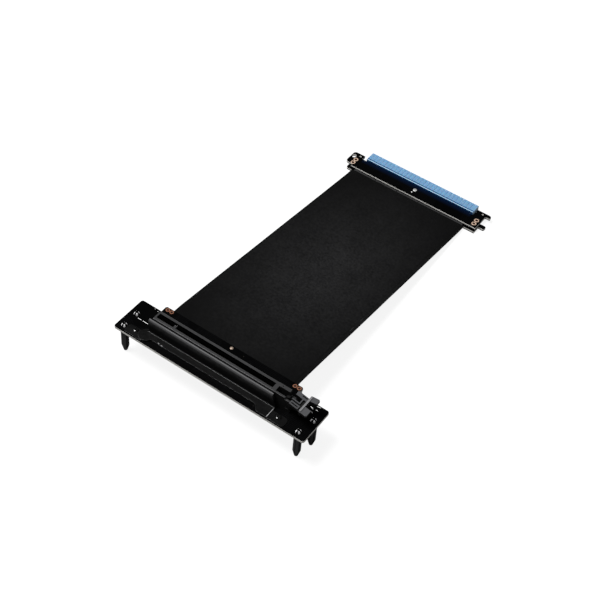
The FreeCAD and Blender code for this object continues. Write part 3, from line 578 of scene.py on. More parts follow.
def bevelled(piece: Piece, width: float, segments: int = 2, angle: float = 35.0,
             finishes: Sequence[Finish] = ()) -> Piece:
    """Round the sharp edges of a piece.

    Args:
        piece: Object to change.
        width: Width of the bevel in millimetres.
        segments: Number of faces across it.
        angle: Edges that turn by more than this many degrees are rounded.
        finishes: Finish of the faces and finish of the rounded edges, a painted highlight, if they are set here.

    Returns:
        The same object.
    """
    bevel = piece.modifiers.new("edges", "BEVEL")
    bevel.width = width * MM
    bevel.segments = segments
    bevel.limit_method = "ANGLE"
    bevel.angle_limit = math.radians(angle)
    bevel.use_clamp_overlap = True
    for finish in finishes:
        piece.data.materials.append(finish.material())
    bevel.material = len(finishes) - 1
    flat = piece.modifiers.new("flat_faces", "WEIGHTED_NORMAL")
    flat.keep_sharp = True
    piece.data.polygons.foreach_set("use_smooth", [True] * len(piece.data.polygons))
    return applied(piece)


def copy_of(node: str, name: str) -> Piece:
    """Copy a CAD node as whole faces: merged corners and no lines across flat faces."""
    shape = bmesh.new()
    shape.from_mesh(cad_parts[node].data)
    bmesh.ops.remove_doubles(shape, verts=shape.verts, dist=0.002 * MM)
    bmesh.ops.dissolve_limit(shape, angle_limit=math.radians(1), verts=shape.verts, edges=shape.edges,
                             delimit={"NORMAL"})
    mesh = bpy.data.meshes.new(name)
    shape.to_mesh(mesh)
    shape.free()
    return object_from(name, mesh)


def add_box(shape: Shape, low: Point, high: Point) -> None:
    """Add a box between two corners, in millimetres."""
    middle = [(a + b) / 2 for a, b in zip(low, high)]
    size = [b - a for a, b in zip(low, high)]
    place = Matrix.Translation(middle) @ Matrix.Diagonal((*size, 1))
    bmesh.ops.create_cube(shape, size=1, matrix=place)


def add_turned(shape: Shape, profile: Sequence[Pair],
               sides: int, centre: Point = (0, 0, 0)) -> None:
    """Add a closed solid of revolution about an upright line.

    Args:
        shape: Shape to add to.
        profile: (radius, z) points from the bottom to the top, or round a ring's section.
        sides: Number of faces round it.
        centre: Where its axis stands and its z starts.
    """
    rings = []
    for radius, z in profile:
        if radius < 1e-6:
            rings.append([shape.verts.new((centre[0], centre[1], centre[2] + z))])
            continue
        angles = [math.tau * step / sides for step in range(sides)]
        rings.append([shape.verts.new((centre[0] + radius * math.cos(angle),
                                       centre[1] + radius * math.sin(angle), centre[2] + z))
                      for angle in angles])
    for low, high in zip(rings, rings[1:]):
        for step in range(sides):
            following = (step + 1) % sides
            corners = [low[step % len(low)], low[following % len(low)],
                       high[following % len(high)], high[step % len(high)]]
            unique = list(dict.fromkeys(corners))
            if len(unique) > 2:
                shape.faces.new(unique)


def smooth(piece: Piece, angle: float = 40.0) -> Piece:
    """Shade a piece smooth except across edges sharper than an angle in degrees."""
    mesh = piece.data
    mesh.polygons.foreach_set("use_smooth", [True] * len(mesh.polygons))
    mesh.set_sharp_from_angle(angle=math.radians(angle))
    return piece


def skinned(name: str, loops: Sequence[Sequence[Point]]) -> Piece:
    """Join closed loops of points by faces, one after the other, and close both ends."""
    shape = bmesh.new()
    rings = [[shape.verts.new(point) for point in loop] for loop in loops]
    for low, high in zip(rings, rings[1:]):
        for step in range(len(low)):
            following = (step + 1) % len(low)
            shape.faces.new((low[step], low[following], high[following], high[step]))
    shape.faces.new(rings[0])
    shape.faces.new(rings[-1])
    bmesh.ops.recalc_face_normals(shape, faces=shape.faces)
    return smooth(from_bmesh(name, shape), 50)


def placed(piece: Piece, finish: Finish, body: Body = Body.EXTENSION,
           replaces: Iterable[str] = ()) -> Piece:
    """Give a finished piece its material and body.

    Args:
        piece: Object at the origin with its place in its mesh.
        finish: Finish of the whole piece, unless it already has materials.
        body: Body that it rides on.
        replaces: CAD nodes that it stands for.

    Returns:
        The same object.
    """
    if not piece.data.materials:
        piece.data.materials.append(finish.material())
    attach(piece, body.value)
    nodes = tuple(replaces)
    if nodes:
        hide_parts(*nodes)
    LOG.info("%s: %d faces on %s", piece.name, len(piece.data.polygons), body.value)
    return piece


def paint_node(node: str, finish: Finish) -> None:
    """Give a CAD node that stays a finish."""
    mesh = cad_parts[node].data
    mesh.materials.clear()
    mesh.materials.append(finish.material())
    LOG.info("%s: kept, %s", node, finish.name)


# ---- geometry node trees


def geometry_tree(name: str, inputs: Sequence[tuple[str, str]]) -> tuple[NodeSheet, Node]:
    """Start a geometry node tree with named inputs.

    Args:
        name: Name of the tree.
        inputs: Name and socket type of each input after the geometry.

    Returns:
        The writer and the group's input node.
    """
    tree = bpy.data.node_groups.new(name, "GeometryNodeTree")
    tree.interface.new_socket("Geometry", in_out="INPUT", socket_type="NodeSocketGeometry")
    for label, kind in inputs:
        tree.interface.new_socket(label, in_out="INPUT", socket_type=kind)
    tree.interface.new_socket("Geometry", in_out="OUTPUT", socket_type="NodeSocketGeometry")
    sheet = NodeSheet(tree)
    return sheet, sheet.add("NodeGroupInput")


def scatter_tree() -> Tree:
    """Return the tree that sets a template at each point, with a seeded turn and size."""
    name = "set_at_points"
    if name in bpy.data.node_groups:
        return bpy.data.node_groups[name]
    sheet, entry = geometry_tree(name, [
        ("Template", "NodeSocketObject"), ("Turn", "NodeSocketFloat"), ("Size Spread", "NodeSocketFloat"),
        ("Seed", "NodeSocketInt"), ("Finish", "NodeSocketMaterial")])
    template = sheet.add("GeometryNodeObjectInfo", {"Object": entry.outputs["Template"]})
    turn = sheet.add("FunctionNodeRandomValue", {"Seed": entry.outputs["Seed"]}, data_type="FLOAT")
    sheet.tree.links.new(sheet.math("MULTIPLY", entry.outputs["Turn"], -1.0), turn.inputs[2])
    sheet.tree.links.new(entry.outputs["Turn"], turn.inputs[3])
    size = sheet.add("FunctionNodeRandomValue", {"Seed": entry.outputs["Seed"]}, data_type="FLOAT")
    sheet.tree.links.new(sheet.math("SUBTRACT", 1.0, entry.outputs["Size Spread"]), size.inputs[2])
    sheet.tree.links.new(sheet.math("ADD", 1.0, entry.outputs["Size Spread"]), size.inputs[3])
    angle = sheet.add("ShaderNodeCombineXYZ", {2: turn.outputs[1]})
    spread = sheet.add("GeometryNodeInstanceOnPoints", {
        "Points": entry.outputs["Geometry"], "Instance": template.outputs["Geometry"],
        "Rotation": angle.outputs[0], "Scale": size.outputs[1]})
    solid = sheet.add("GeometryNodeRealizeInstances", {0: spread.outputs[0]})
    finished = sheet.add("GeometryNodeSetMaterial", {"Geometry": solid.outputs[0],
                                                     "Material": entry.outputs["Finish"]})
    sheet.add("NodeGroupOutput", {0: finished.outputs[0]})
    return sheet.tree


def contact_row_tree() -> Tree:
    """Return the tree that sets a template along a card edge, in two groups with the key between."""
    name = "set_along_card_edge"
    if name in bpy.data.node_groups:
        return bpy.data.node_groups[name]
    sheet, entry = geometry_tree(name, [
        ("Template", "NodeSocketObject"), ("Start", "NodeSocketVector"), ("Pitch", "NodeSocketFloat"),
        ("Before Key", "NodeSocketInt"), ("After Key", "NodeSocketInt"), ("Key Step", "NodeSocketFloat"),
        ("Finish", "NodeSocketMaterial")])
    step = sheet.add("ShaderNodeCombineXYZ", {0: entry.outputs["Pitch"]}).outputs[0]
    first = sheet.add("GeometryNodeMeshLine", {"Count": entry.outputs["Before Key"],
                                               "Start Location": entry.outputs["Start"], "Offset": step})
    groups = sheet.math("MULTIPLY", sheet.math("SUBTRACT", entry.outputs["Before Key"], 1.0),
                        entry.outputs["Pitch"])
    reach = sheet.add("ShaderNodeCombineXYZ", {0: sheet.math("ADD", groups, entry.outputs["Key Step"])})
    start = sheet.add("ShaderNodeVectorMath", {0: entry.outputs["Start"], 1: reach.outputs[0]})
    second = sheet.add("GeometryNodeMeshLine", {"Count": entry.outputs["After Key"],
                                                "Start Location": start.outputs[0], "Offset": step})
    points = sheet.add("GeometryNodeJoinGeometry")
    sheet.tree.links.new(first.outputs[0], points.inputs[0])
    sheet.tree.links.new(second.outputs[0], points.inputs[0])
    template = sheet.add("GeometryNodeObjectInfo", {"Object": entry.outputs["Template"]})
    spread = sheet.add("GeometryNodeInstanceOnPoints", {"Points": points.outputs[0],
                                                        "Instance": template.outputs["Geometry"]})
    solid = sheet.add("GeometryNodeRealizeInstances", {0: spread.outputs[0]})
    finished = sheet.add("GeometryNodeSetMaterial", {"Geometry": solid.outputs[0],
                                                     "Material": entry.outputs["Finish"]})
    sheet.add("NodeGroupOutput", {0: finished.outputs[0]})
    return sheet.tree


def run_tree(name: str, tree: Tree, places: Sequence[Point],
             template: Piece, values: dict) -> Piece:
    """Run a geometry node tree on points and keep its result as a plain mesh.

    Args:
        name: Name of the new piece.
        tree: Tree to run.
        places: Points in millimetres that the tree starts from.
        template: Object that the tree repeats; it is removed afterwards.
        values: Values of the tree's named inputs.

    Returns:
        The new object.
    """
    mesh = bpy.data.meshes.new(name)
    mesh.from_pydata([Vector(place) * MM for place in places], [], [])
    piece = object_from(name, mesh)
    modifier = piece.modifiers.new("repeat", "NODES")
    modifier.node_group = tree
    named = {item.name: item.identifier for item in tree.interface.items_tree
             if item.item_type == "SOCKET" and item.in_out == "INPUT"}
    for label, value in {"Template": template, **values}.items():
        modifier[named[label]] = value
    piece = applied(piece)
    bpy.data.objects.remove(template)
    return piece


# ---- sub-assemblies


@dataclass
class CircuitBoards:
    """Boards of both ends: solder mask above and below, bare laminate at the cut edges."""

    bottoms: tuple[tuple[str, float, float], ...] = (
        ("slot_board", 20.6, 0.0), ("slot_clamp_board", 18.0, 0.5), ("plug_board", 2.6, 0.45),
        ("plug_clamp_board", 0.0, 0.5))
    edge_round: float = 0.07
    flat: float = 0.8
    edge_color: Triple = (0.86, 0.85, 0.81)

    def build(self) -> None:
        """Make a refined copy of each board."""
        for node, bottom, low_share in self.bottoms:
            piece = bevelled(copy_of(node, node + "_laminate"), self.edge_round)
            edge = Laminate(node + "_edge", self.edge_color, roughness=0.7, specular=0.3, bottom=bottom,
                            low_share=low_share)
            self.dress(piece, edge)
            placed(piece, MASK, replaces=[node])

    def dress(self, piece: Piece, edge: Laminate) -> None:
        """Put mask on level faces and laminate on the others.

        Args:
            piece: Board to dress.
            edge: Finish of its cut edges.
        """
        piece.data.materials.append(MASK.material())
        piece.data.materials.append(edge.material())
        for face in piece.data.polygons:
            face.material_index = 0 if abs(face.normal.z) > self.flat else 1


@dataclass
class SupportPosts:
    """Nylon posts under the slot's board, each with a split snap tip above it."""

    nodes: tuple[str, ...] = ("support_post_front_left", "support_post_front_right",
                              "support_post_rear_left", "support_post_rear_right")
    places: tuple[Pair, ...] = ((-64.8, -121.35), (63.5, -121.35), (-64.8, -109.85),
                                               (65.9, -109.85))
    foot_height: float = 4.9
    foot_radius: float = 1.3
    across_flats: float = 4.5
    body_top: float = 20.6
    neck_radius: float = 1.4
    tip_base: float = 22.3
    tip_top: float = 24.2
    tip_radius: float = 1.9
    tip_end_radius: float = 1.1
    split: float = 0.6
    glint_radius: float = 0.8
    glint_spread: float = 0.45
    column_round: float = 0.42

    def column(self) -> Piece:
        """Return the hexagonal column of one post about the origin."""
        shape = bmesh.new()
        corner = self.across_flats / math.sqrt(3)
        profile = [(self.foot_radius, 0.0), (corner, self.foot_height), (corner, self.body_top)]
        add_turned(shape, [(0, profile[0][1]), *profile, (0, profile[-1][1])], 6)
        bmesh.ops.rotate(shape, verts=shape.verts, cent=(0, 0, 0),
                         matrix=Matrix.Rotation(math.radians(30), 3, "Z"))
        bmesh.ops.recalc_face_normals(shape, faces=shape.faces)
        return bevelled(from_bmesh("post_column", shape), self.column_round, segments=3, angle=20)

    def tip(self) -> Piece:
        """Return the snap tip of one post, split both ways into four prongs."""
        base, top = self.tip_base, self.tip_top
        profile = [(0, self.body_top - 0.2), (self.neck_radius, self.body_top - 0.2),
                   (self.neck_radius, base - 0.05), (self.tip_radius - 0.08, base),
                   (self.tip_radius, base + 0.12), (self.tip_radius - 0.08, base + 0.5),
                   (self.tip_end_radius + 0.5, base + 1.05), (self.tip_end_radius + 0.16, top - 0.3),
                   (self.tip_end_radius - 0.1, top - 0.05), (self.tip_end_radius - 0.5, top), (0, top)]
        prongs = []
        for turn_x, turn_y in ((1, 1), (1, -1), (-1, 1), (-1, -1)):
            shape = bmesh.new()
            add_turned(shape, profile, 28)
            for side in ((turn_x, 0, 0), (0, turn_y, 0)):
                cut = bmesh.ops.bisect_plane(
                    shape, geom=shape.verts[:] + shape.edges[:] + shape.faces[:],
                    plane_co=Vector(side) * self.split / 2, plane_no=side, clear_inner=True)
                rim = [item for item in cut["geom_cut"] if isinstance(item, bmesh.types.BMEdge)]
                bmesh.ops.holes_fill(shape, edges=rim)
            bmesh.ops.recalc_face_normals(shape, faces=shape.faces)
            prongs.append(bevelled(from_bmesh("post_prong", shape), 0.1, angle=50))
        return merged("post_tip", prongs)

    def build(self) -> None:
        """Set a column and a tip at each place."""
        for name, template, finish in (("post_columns", self.column(), NYLON),
                                       ("post_tips", self.tip(), TIP)):
            piece = run_tree(name, scatter_tree(), [(x, y, 0) for x, y in self.places], template,
                             {"Turn": 0.0, "Size Spread": 0.0, "Seed": 3, "Finish": finish.material()})
            if finish is TIP:
                self.paint_glints(piece)
            else:
                self.shade_edges(piece)
            placed(piece, finish, replaces=self.nodes)

    def shade_edges(self, columns: Piece) -> None:
        """Paint shade on the rounded edges between the flats of the columns."""
        columns.data.materials.append(NYLON_EDGE_SHADE.material())
        last = len(columns.data.materials) - 1
        for face in columns.data.polygons:
            turn = math.degrees(math.atan2(face.normal.y, face.normal.x)) % 60
            if min(turn, 60 - turn) > 6 and abs(face.normal.z) < 0.9:
                face.material_index = last

    def paint_glints(self, tips: Piece) -> None:
        """Paint glints on the barbs of the prongs as pale faces."""
        tips.data.materials.append(TIP_GLINT.material())
        last = len(tips.data.materials) - 1
        for face in tips.data.polygons:
            x, y, z = face.center / MM
            gaps = [Vector((x - post[0], y - post[1])) for post in self.places]
            gap = min(gaps, key=lambda value: value.length)
            beside = abs(abs(gap.x) - abs(gap.y)) < gap.length * self.glint_spread
            if z > self.tip_base + 0.08 and gap.length > self.glint_radius and beside:
                face.material_index = last


def merged(name: str, parts: Sequence[Piece]) -> Piece:
    """Join objects into one and return it under a new name."""
    shape = bmesh.new()
    for part in parts:
        shape.from_mesh(part.data)
        bpy.data.objects.remove(part)
    bmesh.ops.recalc_face_normals(shape, faces=shape.faces)
    mesh = bpy.data.meshes.new(name)
    shape.to_mesh(mesh)
    shape.free()
    return smooth(object_from(name, mesh))


@dataclass
class SpringContacts:
    """Bent contacts in both rows of the slot."""

    first_x: float = -46.675
    centre_y: float = -110.1
    base_z: float = 22.2
    width: float = 0.4
    thickness: float = 0.17
    path: tuple[Pair, ...] = ((2.6, 2.7), (1.92, 4.35), (1.24, 5.9), (0.9, 6.7), (0.86, 7.05),
                                             (1.05, 7.7), (1.42, 8.62))
    pitch: float = 1.0
    before_key: int = 11
    after_key: int = 71
    key_step: float = 3.55

    def template(self, side: int) -> Piece:
        """Return one contact whose path lies in the YZ plane.

        Args:
            side: -1 for the front row and 1 for the rear row.

        Returns:
            The template object.
        """
        loops = []
        for index, (reach, z) in enumerate(self.path):
            before = Vector(self.path[max(index - 1, 0)])
            after = Vector(self.path[min(index + 1, len(self.path) - 1)])
            run = (after - before).normalized()
            out = Vector((run.y, -run.x)) * self.thickness / 2
            loops.append([(x, side * (reach + sign * out.x), z + sign * out.y)
                          for x, sign in ((-self.width / 2, -1), (self.width / 2, -1),
                                          (self.width / 2, 1), (-self.width / 2, 1))])
        return skinned("contact_template", loops)

    def build(self) -> None:
        """Set both rows."""
        for side, row in ((-1, "front"), (1, "rear")):
            start = Vector((self.first_x, self.centre_y, self.base_z)) * MM
            piece = run_tree("spring_contacts_" + row, contact_row_tree(), [(0, 0, 0)], self.template(side),
                             {"Start": tuple(start), "Pitch": self.pitch * MM,
                              "Before Key": self.before_key, "After Key": self.after_key,
                              "Key Step": self.key_step * MM, "Finish": SPRING_IN_SHADE.material()})
            placed(piece, SPRING_IN_SHADE, replaces=["slot_contacts_" + row])


@dataclass
class GoldFingers:
    """Plated fingers on both faces of the plug's contact edge."""

    first_x: float = -40.275
    low_y: float = 117.8
    high_y: float = 123.4
    faces_z: tuple[tuple[str, float, float], ...] = (("top", 4.2, 4.3), ("bottom", 2.5, 2.6))
    width: float = 0.7
    round: float = 0.2
    pitch: float = 1.0
    before_key: int = 11
    after_key: int = 71
    key_step: float = 3.55

    def template(self, low_z: float, high_z: float) -> Piece:
        """Return one finger with rounded corners."""
        shape = bmesh.new()
        add_box(shape, (-self.width / 2, self.low_y, low_z), (self.width / 2, self.high_y, high_z))
        upright = [edge for edge in shape.edges
                   if abs(edge.verts[0].co.z - edge.verts[1].co.z) > 0.01]
        bmesh.ops.bevel(shape, geom=upright, offset=self.round, segments=2, affect="EDGES")
        return smooth(from_bmesh("finger_template", shape), 50)

    def build(self) -> None:
        """Set the fingers of both faces."""
        for side, low_z, high_z in self.faces_z:
            piece = run_tree("gold_fingers_" + side, contact_row_tree(), [(0, 0, 0)],
                             self.template(low_z, high_z),
                             {"Start": (self.first_x * MM, 0.0, 0.0), "Pitch": self.pitch * MM,
                              "Before Key": self.before_key, "After Key": self.after_key,
                              "Key Step": self.key_step * MM, "Finish": GOLD.material()})
            placed(piece, GOLD, replaces=["plug_fingers_" + side])


def darken_sides(piece: Piece, finish: Finish) -> None:
    """Paint shade on the upright faces of a piece with their own darker finish."""
    piece.data.materials.append(finish.material())
    last = len(piece.data.materials) - 1
    for face in piece.data.polygons:
        if face.material_index == 0 and abs(face.normal.z) < 0.4:
            face.material_index = last


@dataclass
class CardSlot:
    """Housing of the slot, with softened edges, and its latch."""

    housing_round: float = 0.1
    latch_round: float = 0.16
    mouth_y: float = -110.1
    mouth_width: float = 3.6
    mouth_ends: Pair = (-47.6, 39.4)
    top: float = 33.45
    key: Pair = (-35.9, -33.9)
    latch_floor: float = 32.0
    latch_bar: float = 33.8

    def darken_mouth(self, housing: Piece) -> None:
        """Paint shade on the faces inside the card gap and its cavities with a near-black finish."""
        housing.data.materials.append(RECESS_SHADE.material())
        low, high = self.mouth_ends
        for face in housing.data.polygons:
            x, y, z = face.center / MM
            inside = abs(y - self.mouth_y) < self.mouth_width / 2 + 0.9 and low < x < high
            rim = abs(y - self.mouth_y) < self.mouth_width / 2 + 0.3 and face.normal.z < 0.98
            key = self.key[0] < x < self.key[1] and face.normal.z > 0.9 and z > self.top - 4
            if inside and not key and z > 24 and (z < self.top - 0.1 or rim):
                face.material_index = 2

    def shade_latch(self, latch: Piece) -> None:
        """Paint shade on the low floors of the latch and a highlight on the top of its bar."""
        for face in latch.data.polygons:
            height = face.center.z / MM
            if face.normal.z > 0.4 and height < self.latch_floor:
                face.material_index = 2
            elif height > self.latch_bar:
                face.material_index = 1

    def build(self) -> None:
        """Make refined copies of the housing and the latch."""
        housing = bevelled(copy_of("slot_housing", "slot_housing_moulded"), self.housing_round,
                           finishes=(HOUSING, HOUSING_EDGE_HIGHLIGHT))
        self.darken_mouth(housing)
        darken_sides(housing, HOUSING_SIDE_SHADE)
        placed(housing, HOUSING, replaces=["slot_housing"])
        latch = bevelled(copy_of("slot_latch", "slot_latch_moulded"), self.latch_round,
                         finishes=(LATCH, LATCH_HIGHLIGHT))
        darken_sides(latch, LATCH_SHADE)
        self.shade_latch(latch)
        placed(latch, LATCH, Body.LATCH, replaces=["slot_latch"])


@dataclass
class Guard:
    """Guard in front of the slot with the two push rivets that hold it."""

    edge_round: float = 0.22
    rivets: tuple[Pair, ...] = ((-56.85, -120.25), (48.65, -120.25))
    head_radius: float = 1.9
    head_base: float = 22.7
    head_top: float = 23.6
    shank_radius: float = 1.4
    tail_top: float = 19.0
    tail_end: float = 16.0
    tail_radius: float = 0.9
    groove: Pair = (0.5, 2.3)
    ridge_from: float = 31.2

    def highlight_ridge(self, guard: Piece) -> None:
        """Paint a highlight on the rounded shoulder along the top of the wall."""
        guard.data.materials.append(RIDGE_HIGHLIGHT.material())
        for face in guard.data.polygons:
            if face.center.z > self.ridge_from * MM and face.normal.y < -0.15 and face.normal.z > 0.2:
                face.material_index = 2

    def template(self) -> Piece:
        """Return one rivet about the origin, with a domed and grooved head."""
        shape = bmesh.new()
        rise = self.head_top - self.head_base
        dome = [(self.head_radius * math.cos(angle), self.head_base + 0.3 + (rise - 0.3) * math.sin(angle))
                for angle in (0.0, 0.3, 0.6, 0.9, 1.2, 1.4)]
        add_turned(shape, [(0, self.tail_end), (self.tail_radius, self.tail_end),
                           (self.shank_radius, self.tail_top), (self.shank_radius, self.head_base),
                           (self.head_radius - 0.05, self.head_base), *dome, (0, self.head_top)], 32)
        piece = smooth(from_bmesh("rivet_template", shape), 45)
        cutter = bmesh.new()
        add_box(cutter, (-self.groove[0] / 2, -self.groove[1] / 2, self.head_top - 0.35),
                (self.groove[0] / 2, self.groove[1] / 2, self.head_top + 1))
        knife = from_bmesh("rivet_groove", cutter)
        cut = piece.modifiers.new("groove", "BOOLEAN")
        cut.object = knife
        cut.solver = "EXACT"
        piece = applied(piece)
        bpy.data.objects.remove(knife)
        return smooth(piece, 40)

    def build(self) -> None:
        """Make the guard and set a rivet at each place."""
        guard = bevelled(copy_of("slot_guard", "slot_guard_moulded"), self.edge_round,
                         finishes=(GUARD, GUARD_EDGE_HIGHLIGHT))
        self.highlight_ridge(guard)
        placed(guard, GUARD, replaces=["slot_guard"])
        rivets = run_tree("guard_rivets", scatter_tree(), [(x, y, 0) for x, y in self.rivets],
                          self.template(), {"Turn": 0.12, "Size Spread": 0.0, "Seed": 11,
                                            "Finish": RIVET.material()})
        placed(rivets, RIVET, replaces=["guard_rivet_left", "guard_rivet_right"])


@dataclass
class PlatedHoles:
    """Copper rims with dark plated bores, and the solder points beside them."""

    slot_rings: tuple[Pair, ...] = ((-52.2, -95.65), (-49.2, -95.65), (43.0, -95.65),
                                                   (46.0, -95.65))
    plug_rings: tuple[Pair, ...] = ((-49.25, 109.05), (-49.25, 112.85), (50.95, 109.05),
                                                   (50.95, 112.85))
    slot_size: Triple = (1.4, 0.85, 0.5)
    plug_size: Triple = (1.7, 1.08, 0.7)
    slot_top: float = 22.2
    plug_top: float = 4.2
    rim_height: float = 0.15
    board_thickness: float = 1.6

    def rim(self, outer: float, inner: float) -> Piece:
        """Return a flat ring with rounded corners whose base is at z 0."""
        shape = bmesh.new()
        high, soft = self.rim_height, 0.06
        section = [(inner, 0), (outer, 0), (outer, high - soft), (outer - soft, high),
                   (inner + soft, high), (inner, high - soft)]
        add_turned(shape, [*section, section[0]], 36)
        bmesh.ops.remove_doubles(shape, verts=shape.verts, dist=1e-5)
        bmesh.ops.recalc_face_normals(shape, faces=shape.faces)
        return smooth(from_bmesh("rim_template", shape))

    def bore(self, rim: float, radius: float) -> Piece:
        """Return the lining of a hole, from the board's underside to just below the rim.

        Args:
            rim: Inner radius of the copper rim.
            radius: Radius of the hole through the board.

        Returns:
            The template object.
        """
        shape = bmesh.new()
        low, high = -self.board_thickness, self.rim_height * 0.6
        section = [(radius - 0.12, low), (radius, low), (radius, 0), (rim, 0), (rim, high),
                   (radius - 0.06, high), (radius - 0.12, high - 0.05)]
        add_turned(shape, [*section, section[0]], 24)
        floor = -0.5
        add_turned(shape, [(0, floor - 0.1), (radius - 0.1, floor - 0.1), (radius - 0.1, floor), (0, floor)], 24)
        bmesh.ops.remove_doubles(shape, verts=shape.verts, dist=1e-5)
        bmesh.ops.recalc_face_normals(shape, faces=shape.faces)
        return smooth(from_bmesh("bore_template", shape))

    def build(self) -> None:
        """Set the rims and the bores of both ends."""
        ends = (("slot", self.slot_rings, self.slot_size, self.slot_top, "slot_eyelets", COPPER_DULL),
                ("plug", self.plug_rings, self.plug_size, self.plug_top, "plug_eyelets", COPPER))
        for end, places, (outer, rim, inner), top, node, finish in ends:
            points = [(x, y, top) for x, y in places]
            rims = run_tree(end + "_rims", scatter_tree(), points, self.rim(outer, rim),
                            {"Turn": 1.5, "Size Spread": 0.0, "Seed": 5, "Finish": finish.material()})
            placed(rims, finish, replaces=[node])
            bores = run_tree(end + "_bores", scatter_tree(), points, self.bore(rim, inner),
                             {"Turn": 1.5, "Size Spread": 0.0, "Seed": 5, "Finish": PLATING.material()})
            placed(bores, PLATING)


@dataclass
class SolderPoints:
    """Low domes of solder on both boards."""

    slot_points: tuple[Triple, ...] = ((-3.4, -95.65, 1.1),)
    plug_points: tuple[Triple, ...] = ((1.1, 112.25, 1.45), (0.5, 109.15, 0.6))
    slot_top: float = 22.2
    plug_top: float = 4.2
    height: float = 0.3

    def build(self) -> None:
        """Make the domes of each board as one piece."""
        ends = (("slot_solder_dome", self.slot_points, self.slot_top, "slot_solder_point", SOLDER_DULL),
                ("plug_solder_domes", self.plug_points, self.plug_top, "plug_solder_points", SOLDER))
        for name, points, top, node, finish in ends:
            shape = bmesh.new()
            for x, y, radius in points:
                dome = [(radius * math.cos(angle), self.height * math.sin(angle))
                        for angle in (0.0, 0.25, 0.5, 0.8, 1.1, 1.35)]
                add_turned(shape, [(0, 0), *dome, (0, self.height)], 28, (x, y, top))
            bmesh.ops.recalc_face_normals(shape, faces=shape.faces)
            placed(smooth(from_bmesh(name, shape), 60), finish, replaces=[node])


@dataclass
class ThinMarks:
    """Short plain strokes of print, or of painted glints, on a level face."""

    name: str = "print_marks"
    finish: Finish = INK
    slot: Slot = Slot.BOARD
    top: float = 22.2
    thickness: float = 0.02
    strokes: tuple[tuple[float, float, float, float, float], ...] = (
        (-62.2, -111.8, -59.5, -111.8, 0.35), (-58.3, -111.8, -54.4, -111.8, 0.35),
        (-58.9, -99.7, -58.5, -99.7, 0.5), (-56.3, -100.3, -55.9, -100.3, 0.5),
        (58.6, -102.2, 60.8, -102.8, 0.4), (61.6, -100.0, 64.0, -99.5, 0.35),
        (60.2, -104.9, 62.2, -105.5, 0.4), (62.4, -102.3, 63.8, -102.6, 0.4))

    def build(self) -> None:
        """Make all strokes as one thin piece."""
        shape = bmesh.new()
        for x1, y1, x2, y2, width in self.strokes:
            run = Vector((x2 - x1, y2 - y1, 0))
            middle = Vector(((x1 + x2) / 2, (y1 + y2) / 2, self.top + self.thickness / 2))
            turn = Matrix.Rotation(math.atan2(run.y, run.x), 4, "Z")
            size = Matrix.Diagonal((run.length, width, self.thickness, 1))
            bmesh.ops.create_cube(shape, size=1, matrix=Matrix.Translation(middle) @ turn @ size)
        placed(from_bmesh(self.name, shape), self.finish)


# Painted glints on the guard's flange and a painted highlight along the end of its foot.
GLINT_MARKS = ThinMarks("rubbed_marks", GLINT, Slot.GUARD, 23.2, strokes=(
    (-39.7, -120.2, -38.4, -120.5, 0.4), (-37.2, -120.6, -35.9, -120.75, 0.4),
    (43.1, -117.4, 43.1, -124.6, 0.35)))


